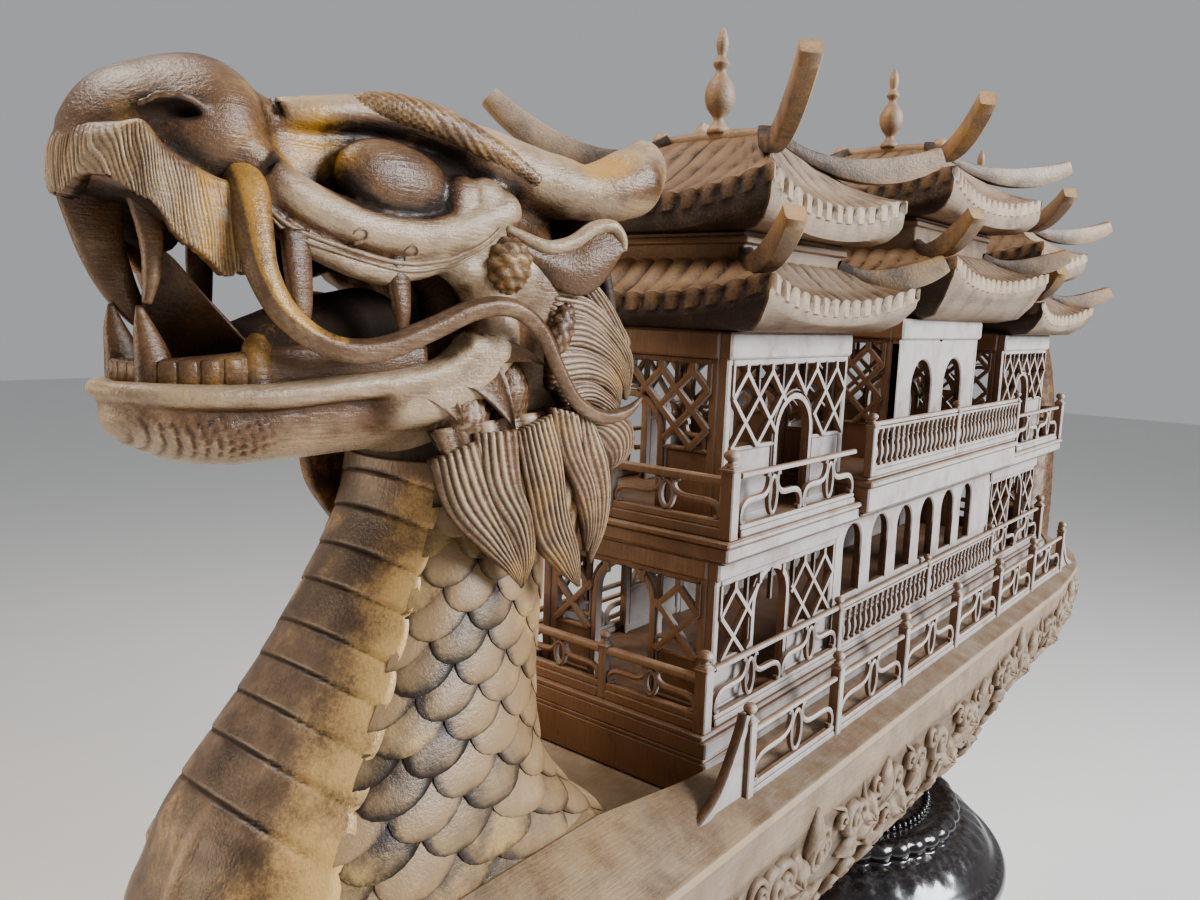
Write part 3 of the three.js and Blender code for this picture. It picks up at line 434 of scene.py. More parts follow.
class Carving:
    """Distances to a carved body, on a grid over its port half. Masses are blended in and
    hollows cut out with a soft edge, as a gouge leaves them, and the zero surface is skinned."""

    def __init__(self, low, high, pitch):
        self.low, self.pitch = np.array(low, np.float32), pitch
        self.shape = tuple(int(np.ceil((b - a) / pitch)) + 1 for a, b in zip(low, high))
        self.far = np.full(self.shape, EMPTY, np.float32)

    def blend(self, shape, soft, way=1):
        """A mass let in with a soft edge, or cut out where way is -1: the lesser of both
        distances, eased where they differ by less than soft."""
        low, high, distance = shape
        room = soft + 2
        first = np.clip(np.floor((np.array(low) - room - self.low) / self.pitch), 0, None).astype(int)
        last = np.ceil((np.array(high) + room - self.low) / self.pitch).astype(int) + 1
        last = np.maximum(np.minimum(last, self.shape), first + 1)
        part = tuple(slice(a, b) for a, b in zip(first, last))
        lines = (self.low[k] + self.pitch * np.arange(first[k], last[k]) for k in range(3))
        x, y, z = (line.astype(np.float32) for line in lines)
        other = way * distance(x[:, None, None], y[None, :, None], z[None, None, :])
        here = self.far[part]
        h = np.clip(0.5 + way * 0.5 * (here - other) / soft, 0, 1)
        self.far[part] = here + (other - here) * h - way * soft * h * (1 - h)

    def hollow(self, shape, soft):
        """A shape cut out with a soft edge."""
        self.blend(shape, soft, -1)

    def skin(self):
        """The closed surface of both halves: a corner in each crossed cell, at the mean of
        the crossings on its edges, and a quad round each crossed edge."""
        far = np.concatenate([self.far[:0:-1], self.far], 0)
        start = self.low - np.array([self.pitch * (self.shape[0] - 1), 0, 0])
        shape = np.array(far.shape)
        stride = np.array([shape[1] * shape[2], shape[2], 1])
        rings, places = [], []
        for axis in range(3):
            b, c = (axis + 1) % 3, (axis + 2) % 3
            one = np.take(far, np.arange(shape[axis] - 1), axis)
            two = np.take(far, np.arange(1, shape[axis]), axis)
            edge = np.stack(np.nonzero((one < 0) != (two < 0)), -1)
            inner = ((edge[:, b] > 0) & (edge[:, c] > 0)
                     & (edge[:, b] < shape[b] - 1) & (edge[:, c] < shape[c] - 1))
            edge = edge[inner]
            first, second = one[tuple(edge.T)], two[tuple(edge.T)]
            place = edge.astype(float)
            place[:, axis] += first / (first - second)
            ring = np.stack([edge @ stride - m * stride[b] - n * stride[c]
                             for m, n in ((1, 1), (0, 1), (0, 0), (1, 0))], -1)
            ring[first > 0] = ring[first > 0][:, ::-1]
            rings.append(ring)
            places.append(place)
        corner = np.unique(np.concatenate(rings), return_inverse=True)[1].reshape(-1, 4)
        place = np.repeat(np.concatenate(places), 4, 0)
        counts = np.bincount(corner.ravel())
        points = np.stack([np.bincount(corner.ravel(), place[:, k]) / counts for k in range(3)], -1)
        return points * self.pitch + start, corner

    def sample(self, points):
        """The distance at any points, either side, from the eight grid values round each."""
        points = np.asarray(points, float)
        at = (np.abs(points * [1, 0, 0]) + points * [0, 1, 1] - self.low) / self.pitch
        at = np.clip(at, 0, np.array(self.shape) - 1.001)
        k = at.astype(int)
        f = at - k
        total = np.zeros(len(at))
        for corner in np.ndindex(2, 2, 2):
            weight = np.prod(np.where(corner, f, 1 - f), -1)
            total += weight * self.far[tuple((k + corner).T)]
        return total

    def outward(self, points):
        """The direction away from the body."""
        steps = self.pitch * np.eye(3)
        return unit(np.stack([self.sample(points + s) - self.sample(points - s) for s in steps], -1))


def ball(centre, radii, tilt=0.0):
    """An ellipsoid, its long axes tilted in the YZ plane by so many degrees."""
    cx, cy, cz = centre
    rx, ry, rz = radii
    cos, sin = np.cos(np.radians(tilt)), np.sin(np.radians(tilt))
    reach = max(ry, rz)

    def distance(x, y, z):
        u, v, w = (x - cx) / rx, (y - cy) * cos + (z - cz) * sin, (z - cz) * cos - (y - cy) * sin
        near = np.sqrt(u ** 2 + (v / ry) ** 2 + (w / rz) ** 2)
        steep = np.sqrt((u / rx) ** 2 + (v / ry ** 2) ** 2 + (w / rz ** 2) ** 2)
        return near * (near - 1) / np.maximum(steep, 1e-6)

    return (cx - rx, cy - reach, cz - reach), (cx + rx, cy + reach, cz + reach), distance


def rope(rows, wide=1.0, tall=1.0, steps=3):
    """A round limb through rows of (x, y, z, radius), made wider across X or taller by factors."""
    rows = smooth(rows, (len(rows) - 1) * steps + 1)
    centre, radius = rows[:, :3], rows[:, 3]
    room = (radius * max(wide, tall, 1.0))[:, None]

    def distance(x, y, z):
        least = None
        for a, b, ra, rb in zip(centre[:-1], centre[1:], radius[:-1], radius[1:]):
            along = b - a
            px, py, pz = x - a[0], y - a[1], z - a[2]
            t = np.clip((px * along[0] + py * along[1] + pz * along[2]) / (along @ along), 0, 1)
            d = np.sqrt(((px - t * along[0]) / wide) ** 2 + (py - t * along[1]) ** 2
                        + ((pz - t * along[2]) / tall) ** 2) - (ra + (rb - ra) * t)
            least = d if least is None else np.minimum(least, d)
        return least.astype(np.float32)

    return (centre - room).min(0), (centre + room).max(0), distance


# Columns: x, y, z, radius. Each name says which mass of the head the rope is.
SKULL_CORE = [
    (0, -385, 424, 30), (0, -350, 420, 31), (0, -310, 417, 34), (0, -260, 413, 43),
    (0, -210, 402, 49), (0, -168, 392, 46),
]
UPPER_LIP = [
    (0, -404, 409, 12), (12, -402, 409, 12), (23, -392, 404, 12), (29, -380, 397, 12),
    (32, -366, 388, 12), (33, -352, 390, 12),
]
CHEEK_BAND = [
    (36, -343, 412, 10), (40, -330, 402, 11), (43, -312, 394, 12), (46, -292, 389, 12),
    (49, -270, 387, 13), (53, -248, 389, 13), (56, -228, 396, 13), (58, -208, 405, 13),
]
LIP_EDGE = [
    (39, -341, 388, 6), (40, -331, 382, 7), (43, -318, 377, 7), (46, -302, 371, 7),
    (48, -282, 368, 8), (50, -262, 371, 8), (53, -248, 376, 8), (57, -236, 372, 10),
]
BROW = [
    (24, -334, 441, 7), (31, -312, 444, 8), (35, -280, 449, 9), (40, -245, 448, 10),
    (46, -212, 441, 11), (52, -190, 434, 11),
]
EYE_SOCKET = [
    (60, -320, 428, 13), (62, -303, 426, 21), (64, -280, 423, 22), (68, -254, 419, 18),
    (72, -230, 420, 10), (74, -208, 427, 4),
]
TEMPLE = [(42, -205, 434, 18), (48, -178, 430, 18), (54, -155, 425, 17)]
HORN = [
    (54, -155, 426, 15), (59, -135, 424, 17), (63, -115, 428, 20), (65, -98, 434, 22),
]
CHEEK = [
    (52, -225, 380, 15), (50, -200, 372, 26), (48, -180, 360, 30), (46, -170, 330, 30), (44, -175, 295, 26),
]
JAW_MUSCLE = [
    (54, -222, 368, 13), (58, -212, 348, 15), (58, -216, 325, 17), (54, -240, 304, 15), (48, -270, 298, 13),
]
THROAT = [(0, -176, 395, 46), (0, -180, 350, 50), (0, -190, 305, 50), (0, -205, 282, 46)]
JAW_BODY = [
    (0, -382, 296, 22), (0, -356, 292, 29), (0, -318, 294, 33), (0, -262, 300, 39), (0, -225, 300, 44),
]
TONGUE_ROOT = [(0, -335, 322, 18), (0, -300, 330, 22), (0, -262, 334, 26)]
JAW_LIP = [
    (0, -402, 308, 6), (12, -400, 308, 6.5), (25, -390, 307, 7), (36, -369, 306, 7.5),
    (43, -338, 306, 8), (48, -305, 309, 8.5), (53, -275, 311, 9), (57, -250, 317, 9.5), (60, -234, 330, 10),
]
JAW_GROOVE = [
    (0, -411, 300, 1.8), (14, -408, 300, 1.8), (30, -396, 299, 1.8), (43, -370, 297, 1.8),
    (51, -340, 297, 1.8), (56, -313, 299, 1.8), (58, -296, 295, 1.2),
]
MOUTH_UPPER = [
    (0, -402, 382, 17), (0, -382, 376, 23), (0, -350, 368, 29), (0, -310, 358, 33), (0, -264, 350, 36),
]
MOUTH_LOWER = [(0, -382, 330, 15), (0, -352, 331, 25), (0, -310, 335, 33), (0, -264, 341, 37)]
# The mouth's outline from the side. Columns: y, top of the opening, bottom of it.
GAPE = np.array([
    (-450, 396, 200), (-430, 396, 200), (-422, 400, 220), (-408, 400, 312), (-397, 393, 313),
    (-386, 380, 313), (-375, 370, 313), (-363, 365, 313), (-357, 367, 313), (-350, 382, 313),
    (-344, 390, 313), (-337, 383, 314), (-330, 376, 314), (-320, 371, 315), (-302, 364, 316),
    (-282, 360, 318), (-262, 364, 320), (-248, 367, 324), (-238, 360, 331), (-231, 346, 342),
    (-229, 344, 344), (-150, 300, 380),
])


def gape(x, y, z):
    """The open mouth: between the two curves of its outline, right across the head."""
    top = np.interp(y, GAPE[:, 0], GAPE[:, 1])
    bottom = np.interp(y, GAPE[:, 0], GAPE[:, 2])
    return (np.maximum(z - top, bottom - z) * 0.8 + 0 * x).astype(np.float32)


NOSE_CREASE = [
    (0, -421, 424, 2.0), (16, -416, 424, 2.0), (28, -404, 426, 2.2), (37, -392, 421, 2.6),
    (43, -376, 409, 3.0), (46, -360, 405, 2.6), (44, -346, 412, 2.0), (40, -335, 425, 1.8),
    (32, -331, 440, 1.8), (20, -333, 452, 1.6), (0, -333, 458, 1.6),
]
NOSTRIL_RIM = [(34, -399, 432, 1.6), (37, -391, 437, 2.0), (40, -380, 437, 2.0), (41, -372, 433, 1.6)]
HEAD_PITCH = 2.15


def carve_head():
    """The head's field, mass by mass, from the skull out to the lips and horns."""
    head = Carving((0, -436, 238), (92, -60, 474), HEAD_PITCH)
    mass, cut = head.blend, head.hollow
    mass(rope(SKULL_CORE), 4)
    mass(rope(THROAT), 12)
    mass(rope(JAW_BODY, wide=1.28, tall=0.82), 10)
    mass(rope(CHEEK), 12)
    mass(rope(TEMPLE), 12)
    mass(rope(HORN), 10)
    mass(ball((67, -84, 444), (13, 17, 19), 20), 6)
    mass(rope(UPPER_LIP, tall=1.25), 8)
    cut(rope(EYE_SOCKET), 4)
    mass(ball((0, -386, 422), (27, 34, 25), 14), 4)
    mass(ball((0, -374, 427), (35, 31, 32), 8), 5)
    mass(ball((0, -359, 430), (44, 32, 35)), 7)
    mass(ball((27, -362, 424), (16, 27, 20), -20), 4)
    mass(rope(CHEEK_BAND), 9)
    mass(rope(BROW), 6)
    mass(rope(LIP_EDGE), 2.5)
    mass(rope(JAW_LIP, tall=0.85), 5)
    mass(rope(JAW_MUSCLE), 8)
    cut(rope(MOUTH_UPPER, tall=0.8), 3)
    cut(rope(MOUTH_LOWER, tall=0.8), 3)
    cut(((-1, -450, 200), (95, -229, 405), gape), 3)
    cut(rope(JAW_GROOVE), 1.5)
    mass(rope(TONGUE_ROOT, wide=1.3), 4)
    cut(ball((84, -132, 452), (24, 22, 15), 0), 5)
    mass(ball((45, -270, 413), (16, 38, 22), -10), 1.5)
    mass(ball((53, -236, 408), (11, 13, 16), -25), 1)
    mass(ball((58, -219, 411), (9, 15, 12), -10), 1)
    cut(rope(NOSE_CREASE), 2)
    cut(ball((36, -385, 431), (6, 11, 2.6), 8), 2.5)
    mass(rope(NOSTRIL_RIM), 1.5)
    return head


HEAD = carve_head()


def onto_head(points, proud=0.0):
    """Points moved on to the carved head, and then so far proud of it."""
    for _ in range(4):
        points = points - HEAD.outward(points) * HEAD.sample(points)[:, None]
    return points + HEAD.outward(points) * proud


def dragon_head():
    """The carved body of the head, with hatching cut in the chin."""
    points, quads = HEAD.skin()
    for _ in range(2):
        points = points - 0.8 * HEAD.outward(points) * HEAD.sample(points)[:, None]
    away = HEAD.outward(points)
    x, y, z = np.abs(points[:, 0]), points[:, 1], points[:, 2]
    chin = ramp(-402, -396, y) * ramp(-335, -345, y) * ramp(272, 277, z) * ramp(297, 293, z)
    hatch = chin * (away[:, 2] < 0.5) * ramp(0.55, 0.25, ripple((y + 0.5 * z) / 5.2))
    points = points - away * (1.3 * hatch)[:, None]
    # Darker where little open air lies 7 and 20 mm off the surface: painted shade in the hollows, along with
    # their stain.
    near_air = np.clip(HEAD.sample(points + away * 7) / 7, 0, 1)
    wide_air = np.clip(HEAD.sample(points + away * 20) / 20, 0, 1)
    tone = 0.03 + 0.62 * near_air * wide_air + 0.22 * near_air - 0.2 * hatch
    # The inside of the mouth is pushed below the darkest tone: a painted shadow.
    inside = ramp(45, 38, x) * ramp(-238, -256, y) * ramp(311, 318, z) * ramp(403, 392, z)
    tone = tone * (1 - inside) - 0.3 * inside
    eye = np.sqrt(((x - 46) / 20) ** 2 + ((y + 262) / 50) ** 2 + ((z - 412) / 26) ** 2)
    tone = tone - 0.5 * ramp(1.1, 0.85, eye) - 0.4 * ramp(-326, -345, y) * ramp(398, 412, z)
    socket = np.exp(-((x - 40) / 14) ** 2 - ((y + 318) / 16) ** 2 - ((z - 430) / 16) ** 2)
    dish = np.exp(-(((x - 66) / 16) ** 2 + ((y + 132) / 20) ** 2 + ((z - 442) / 12) ** 2))
    gilt = 0.9 * socket + 0.9 * dish + 0.25
    return Stock().add(points, quads, tone=tone, gilt=gilt).piece(
        "dragon_head", DRAGON, ("skull", "lower_jaw", "horn_port", "horn_starboard"))


def lip_hair():
    """The combed hair of the upper lip: a curtain from the crease under the nose to the lip's
    lower edge, where fine strands part the surface and sweep back as they fall."""
    crease = smooth([
        (0, -418, 424), (9, -417, 424), (18, -414, 424), (27, -406, 425), (34, -398, 426),
        (38, -391, 417), (41, -380, 410), (43, -367, 405), (44, -352, 404),
    ], 320)
    edge = smooth([
        (0, -421, 394), (9, -421, 398), (19, -416, 402), (30, -407, 400), (35, -400, 395),
        (39, -391, 385), (42, -379, 372), (44, -366, 364), (45, -356, 363),
    ], 320)
    v = np.linspace(0, 1, 20)[:, None, None]
    u = np.linspace(0, 1, 320)[None, :]
    sheet = crease[None] * (1 - v) + edge[None] * v
    normals = grid_normals(sheet, (0.6, -0.8, 0))
    fall = v[..., 0]
    strand = (46 * (u - 0.07 * fall ** 1.5 * np.sin(np.pi * u)) + 1.4 * np.sin(7 * u + 1)
              + 0.25 * np.sin(6 * fall + 40 * u))
    each = hashed(np.floor(strand))
    lump = np.sin(strand * 0.55 + 2.0 * fall) * 0.5 + 0.5
    hair = ripple(strand, 0.8) * (0.35 + 0.65 * each)
    sheet = sheet + np.array([0, 0, 3.0]) * (ramp(0.5, 1, fall) * (0.5 * each + lump - 0.9))[..., None]
    swell = 2.2 * np.sin(np.pi * np.clip(fall, 0, 0.92)) ** 0.6 + 1.5 * lump * ramp(0, 0.3, fall)
    outer = sheet + normals * (swell + 1.0 * hair * ramp(0, 0.12, fall) - 2.2)[..., None]
    points, quads = slab(outer, sheet - normals * 9)
    face = 0.46 + (0.5 * hair + 0.24 * lump) * ramp(0, 0.2, fall)
    gilt = np.where(points[:, 1] > -378, 0.55, 0.3)
    return Stock().add(points, quads, tone=backed(face, -0.3), gilt=gilt, mirrored=True).piece(
        "lip_hair", DRAGON, ())


# Columns: x, y, z, half width, then the direction that the band's ridge faces.
WHISKER = np.array([
    (36, -358, 410, 9, 0.70, -0.70, 0.10), (43, -357, 401, 10.5, 0.66, -0.75, 0.05),
    (50, -358, 386, 9.5, 0.66, -0.75, 0.05), (56, -356, 363, 7.5, 0.70, -0.70, 0.15),
    (60, -345, 344, 6.6, 0.75, -0.60, 0.30), (66, -325, 331, 6.4, 0.80, -0.45, 0.40),
    (72, -301, 330, 6.4, 0.88, -0.35, 0.35), (78, -274, 340, 6.2, 0.92, -0.30, 0.30),
    (84, -248, 351, 5.8, 0.93, -0.25, 0.30), (88, -224, 352, 5.5, 0.95, -0.15, 0.25),
    (90, -204, 340, 5.2, 0.97, -0.10, 0.10), (92, -191, 319, 5.0, 0.98, -0.10, 0.10),
    (94, -176, 299, 4.8, 0.98, -0.05, 0.20), (96, -153, 289, 4.6, 0.95, 0.00, 0.35),
    (98, -132, 291, 3.6, 0.95, 0.05, 0.30), (99, -119, 299, 1.2, 0.95, 0.10, 0.10),
])
BAND = [(1, -0.3), (0.85, 0.12), (0.5, 0.42), (0.12, 0.62), (-0.3, 0.5), (-0.8, 0.15), (-1, -0.3),
        (-0.6, -0.62), (0, -0.75), (0.6, -0.62)]


def whiskers():
    """Long flat bands with a low ridge, from the nostrils to the mane, each a profile carried
    along its path."""
    rows = smooth(WHISKER, 110)
    profile = smooth([*BAND, BAND[0]], 21)[:-1]
    points, quads, ends = swept(rows[:, :3], profile, facing=rows[:, 4:7], scale=rows[:, 3:4])
    across = np.append(np.tile(profile[:, 0], len(rows)), [0, 0])
    along = np.append(np.repeat(np.arange(len(rows)), len(profile)), [0, len(rows)]) / len(rows)
    tone = 0.62 - 0.25 * (across > 0.3)
    gilt = 0.25 + 0.45 * (across > 0.1) * (along < 0.35)
    for side, sign in SIDES:
        Stock().add(points * [sign, 1, 1], quads, ends, tone=tone, gilt=gilt).piece(f"whisker_{side}", DRAGON)


def brow_hair():
    """A strip of wavy combed hair on each brow: a half-round carried along the ridge, cut by
    slanting strands that bend as they cross it."""
    path = smooth([
        (33, -300, 448), (38, -284, 452), (43, -266, 452), (48, -246, 449), (53, -222, 442), (58, -200, 434),
        (64, -182, 425),
    ], 140)
    girth = 8.0 * np.sin(np.pi * np.linspace(0.03, 0.96, 140)) ** 0.5
    angle = np.linspace(-0.62 * np.pi, 0.62 * np.pi, 19)
    tangent = unit(np.gradient(path, axis=0))
    lean = np.array([0.75, -0.1, 0.6])
    up = unit(lean - tangent * (tangent @ lean)[:, None])
    across = np.cross(up, tangent)
    s = np.linspace(0, 1, 140)[:, None]
    phase = 20 * s + 2.2 * angle[None] + 0.4 * np.sin(9 * s + 2.0 * angle[None])
    hair = ripple(phase, 0.8)
    radius = girth[:, None] + 1.3 * (hair - 0.5)
    grid = path[:, None] + radius[..., None] * (
        across[:, None] * np.sin(angle)[:, None] + up[:, None] * np.cos(angle)[:, None])
    points, quads = slab(grid, np.repeat(path[:, None], 19, 1) - 2 * up[:, None])
    return Stock().add(points, quads, tone=backed(0.2 + 0.55 * hair, 0.2), gilt=0.42, mirrored=True).piece(
        "brow_hair", DRAGON, ())


def lip_lines():
    """Two fine raised lines along the rim under the cheek band, with small curls on them."""
    stock = Stock()
    rim = smooth([
        (44, -346, 396), (45, -339, 389), (48, -328, 384), (53, -303, 378), (58, -273, 373), (62, -247, 377),
        (66, -227, 388), (68, -218, 396),
    ], 60)
    for drop, girth in ((0.0, 1.5), (-4.0, 1.0)):
        taper = girth * np.sin(np.pi * np.linspace(0.03, 0.97, 60)) ** 0.3
        line = swept(onto_head(rim + [0, 0, drop], 0.2), circle(6), scale=taper[:, None])
        stock.add(*line, tone=0.75, gilt=0.3, mirrored=True)
    turn = np.linspace(0, 1.5 * np.pi, 24)
    taper = 1.4 * (1 - 0.8 * turn / turn[-1])
    for y, z in ((-300, 379), (-270, 375)):
        hook = together(56.0, y + 5 * np.sin(turn) - 4 * (1 - turn / 4.7),
                        z + 5.5 - 5.5 * np.cos(turn) * (1 - turn / 9))
        curl = swept(onto_head(hook, 0.2), circle(8), scale=taper[:, None])
        stock.add(*curl, tone=0.75, gilt=0.3, mirrored=True)
    return stock.piece("lip_lines", DRAGON, ())


# Teeth. Columns of each path: x, y, z, half width across the jaw, half depth.
STARBOARD_TUSK = [
    (-17, -402, 410, 6, 15), (-18, -398, 393, 6, 14), (-18, -395, 375, 6, 11), (-17, -389, 358, 5, 9),
    (-15, -382, 344, 4, 6), (-13, -378, 335, 1, 2),
]
PORT_TUSK = [
    (18, -392, 400, 5, 8), (18, -389, 384, 5, 6), (18, -388, 370, 4.5, 4.5), (18, -389, 358, 4, 3.5),
    (18, -391, 348, 2, 2),
]
CANINE = [(15, -386, 312, 7, 10), (15, -388, 324, 6, 8), (15, -391, 336, 4, 5), (14, -393, 347, 1, 1.2)]
FRONT_MOLAR = [
    (44, -331, 385, 4, 8), (46, -331, 368, 4, 7.5), (47, -330, 350, 3.5, 6), (47, -330, 338, 2.5, 4),
]
REAR_MOLAR = [(52, -276, 376, 4, 7), (53, -275, 362, 4, 6.5), (54, -274, 348, 3.5, 5), (54, -273, 338, 2, 3)]
GUM = [
    (0, -392, 315, 5, 7), (14, -389, 315, 5, 7), (26, -379, 316, 5, 8), (34, -362, 317, 5, 9),
    (38, -340, 319, 5, 10), (43, -312, 321, 5, 10), (49, -284, 322, 5, 10), (53, -258, 323, 4, 8),
]
CORNER_POST = [(36, -347, 308, 7, 9), (37, -348, 320, 6, 8), (37, -348, 329, 5, 7), (36, -347, 335, 2, 3)]
# The jaw's square front teeth: how high each ring stands on the gum, and its half sizes.
SQUARE_TOOTH = [(-6, 4.4, 3.2), (3, 4.4, 3.2), (5.5, 4.1, 3.0), (6.5, 3.4, 2.2)]


def teeth():
    """Tusks that hang from the lip, pegs behind them, the jaw's canines, its square front
    teeth and the gum that carries them."""
    stock = Stock()
    for rows in (STARBOARD_TUSK, PORT_TUSK, CANINE, FRONT_MOLAR, REAR_MOLAR):
        path = smooth(rows, 22)
        points, quads, ends = swept(path[:, :3], circle(14, 2.4), scale=path[:, 3:])
        drop = np.abs(points[:, 2] - rows[0][2])
        stock.add(points, quads, ends, tone=0.25 + 0.3 * ramp(0, 30, drop), gilt=0.3,
                  mirrored=rows not in (STARBOARD_TUSK, PORT_TUSK))
    gum = smooth(GUM, 60)
    body = swept(gum[:, :3], circle(14, 3), facing=(0, 0, 1), scale=gum[:, 3:])
    stock.add(*body, tone=0.42, gilt=0.25, mirrored=True)
    for at, after in zip(gum[2:27:4, :3], gum[3:28:4, :3]):
        ahead = unit(after - at)
        foot = at + np.cross(ahead, [0, 0, 1.0]) * 2.4
        body = swept([foot + [0, 0, row[0]] for row in SQUARE_TOOTH], circle(12, 5), side=ahead,
                     scale=[row[1:] for row in SQUARE_TOOTH])
        stock.add(*body, tone=0.5, gilt=0.3, mirrored=True)
    post = smooth(CORNER_POST, 16)
    body = swept(post[:, :3], circle(12, 2.6), scale=post[:, 3:])
    stock.add(*body, tone=0.35, gilt=0.35, mirrored=True)
    return stock.piece("teeth", DRAGON, ())


def tongue():
    """A leaf that rises from the jaw's floor to a point: its half width swells and closes
    along a curved spine, and its face is hollowed a little."""
    spine = smooth([
        (4, -318, 312), (4, -336, 320), (4, -351, 329), (4, -363, 343), (3, -371, 357), (2, -375, 373),
    ], 40)
    t = np.linspace(0, 1, 40)
    half = 22 * np.sin(np.pi * np.clip(0.2 + 0.8 * t, 0, 1)) ** 0.75 + 0.2
    tangent = unit(np.gradient(spine, axis=0))
    u = np.linspace(-1, 1, 21)
    across = np.array([0.8, 0.6, 0.05])
    up = unit(np.cross(across, tangent))
    dish = 7 * (u ** 2)[None, :] * np.sin(np.pi * t)[:, None]
    outer = spine[:, None] + across * (half[:, None] * u)[..., None] + up[:, None] * dish[..., None]
    depth = 9 * np.sin(np.pi * np.clip(t, 0.05, 0.97))[:, None] * np.cos(1.3 * u)
    points, quads = slab(outer, outer - up[:, None] * depth[..., None])
    return Stock().add(points, quads, tone=0.36, gilt=0.1).piece("tongue", DRAGON)


def ears():
    """A heart-shaped flap with a rolled upper edge behind each cheek."""
    roll = smooth([
        (66, -212, 396), (71, -200, 391), (77, -187, 387), (81, -171, 391), (85, -157, 400), (89, -145, 402),
        (92, -139, 396), (93, -138, 388),
    ], 40)
    low = smooth([
        (68, -206, 384), (72, -196, 374), (78, -182, 365), (83, -172, 361), (87, -163, 361), (90, -152, 368),
        (92, -143, 379), (93, -138, 388),
    ], 40)
    v = np.linspace(0, 1, 16)[:, None, None]
    outer = roll[None] * (1 - v) + low[None] * v + np.array([4.0, -2, 0]) * np.sin(np.pi * v)
    points, quads = slab(outer, outer - np.array([5.0, 1, 0]) * (0.35 + 0.65 * np.sin(np.pi * v)))
    girth = 4.4 * np.sin(np.pi * np.linspace(0.1, 0.93, 40)) ** 0.4
    bead = swept(roll + [1, 0, 0], circle(12), scale=girth[:, None])
    for side, sign in SIDES:
        stock = Stock().add(points * [sign, 1, 1], quads, tone=0.42, gilt=0.12)
        stock.add(bead[0] * [sign, 1, 1], *bead[1:], tone=0.8, gilt=0.1)
        stock.piece(f"ear_{side}", DRAGON)


def knobbed(radii, relief, bump, rows=30, columns=44):
    """A ball whose surface rises by a relief of (share round, share down), and its tones."""
    angle = 2 * np.pi * np.arange(columns) / columns
    down = np.pi * np.linspace(0.02, 0.98, rows)[:, None]
    rise = bump * relief(angle / (2 * np.pi), down / np.pi) * np.sin(down) ** 0.5
    rx, ry, rz = radii
    grid = together((rx + rise) * np.sin(down) * np.cos(angle), (ry + rise) * np.sin(down) * np.sin(angle),
                    (rz + rise) * np.cos(down))
    return *tube(grid, [0, 0, rz], [0, 0, -rz]), np.append(0.2 + 0.6 * rise / bump, [0.5, 0.5])


def cheek_knobs():
    """A pinecone on each cheek, a small one below it, and two scaled balls at the jaw hinge,
    each leant in the YZ plane by so many degrees."""
    cone = lambda s, t: ripple(6 * t + 5 * s, 0.6) * ripple(6 * t - 5 * s, 0.6)
    scaled = lambda rows, columns: lambda s, t: scale_relief(columns * s, rows * t)
    stock = Stock()
    for centre, radii, lean, relief, bump in (
        ((68, -211, 375), (11, 14, 16), -24, cone, 2.6),
        ((79, -176, 340), (6, 8, 17), -22, cone, 1.6),
        ((64, -207, 302), (14, 14, 23), 4, scaled(13, 22), 1.1),
        ((56, -233, 288), (16, 17, 20), 18, scaled(11, 24), 1.1),
    ):
        points, quads, ends, tone = knobbed(radii, relief, bump)
        a = np.radians(lean)
        turn = np.array([[1, 0, 0], [0, np.cos(a), -np.sin(a)], [0, np.sin(a), np.cos(a)]])
        stock.add(points @ turn.T + centre, quads, ends, tone=tone, gilt=0.36, mirrored=True)
    return stock.piece("cheek_knobs", DRAGON, ())


def leaf_flaps():
    """Pointed flaps cut at the jaw hinge: each is a plate between two curves that meet at its
    tip, with a thick lip along its edges."""
    stock = Stock()
    for first, second, proud in (
        ([(64, -228, 338), (70, -214, 334), (78, -204, 328), (84, -196, 320)],
         [(64, -234, 318), (70, -216, 321), (77, -206, 322), (84, -196, 320)], 3),
        ([(62, -224, 326), (70, -218, 318), (75, -215, 302), (77, -213, 284)],
         [(56, -252, 306), (64, -240, 308), (71, -226, 299), (77, -213, 284)], 3),
        ([(52, -262, 308), (60, -250, 306), (65, -244, 298), (66, -242, 287)],
         [(50, -282, 302), (57, -268, 304), (62, -256, 298), (66, -242, 287)], 2),
    ):
        a, b = smooth(first, 20), smooth(second, 20)
        v = np.linspace(0, 1, 9)[:, None, None]
        middle = a[None] * (1 - v) + b[None] * v
        lip = 1.8 * (np.abs(2 * v - 1) ** 4)
        outer = middle + np.array([1.0, -0.35, 0]) * (proud + lip)
        points, quads = slab(outer, middle - [6, -2, 0])
        stock.add(points, quads, tone=0.5, gilt=0.2, mirrored=True)
    return stock.piece("leaf_flaps", DRAGON, ())


def combed(sheet, strands, depth, thick, out, sway, girth):
    """A plate on a sheet whose face is combed in so many round strands. Girth scales its
    depth along the strands."""
    v = np.linspace(0, 1, len(sheet))[:, None]
    u = np.linspace(0, 1, sheet.shape[1])[None, :]
    normals = grid_normals(sheet, out)
    run = strands * u + sway * np.sin(2 * np.pi * v + 3 * u)
    ridge = ripple(run, 0.75) * (0.7 + 0.3 * hashed(np.floor(run), strands))
    crown = np.sin(np.pi * np.clip(u, 0.02, 0.98)) ** 0.3
    outer = sheet + normals * (girth * (depth * ridge + thick * 0.45 * crown))[..., None]
    inner = sheet - normals * (girth * thick * 0.55 * crown + 0.3)[..., None]
    points, quads = slab(outer, inner)
    return points, quads, backed(0.12 + 0.78 * ridge + 0.12 * crown, 0.1)


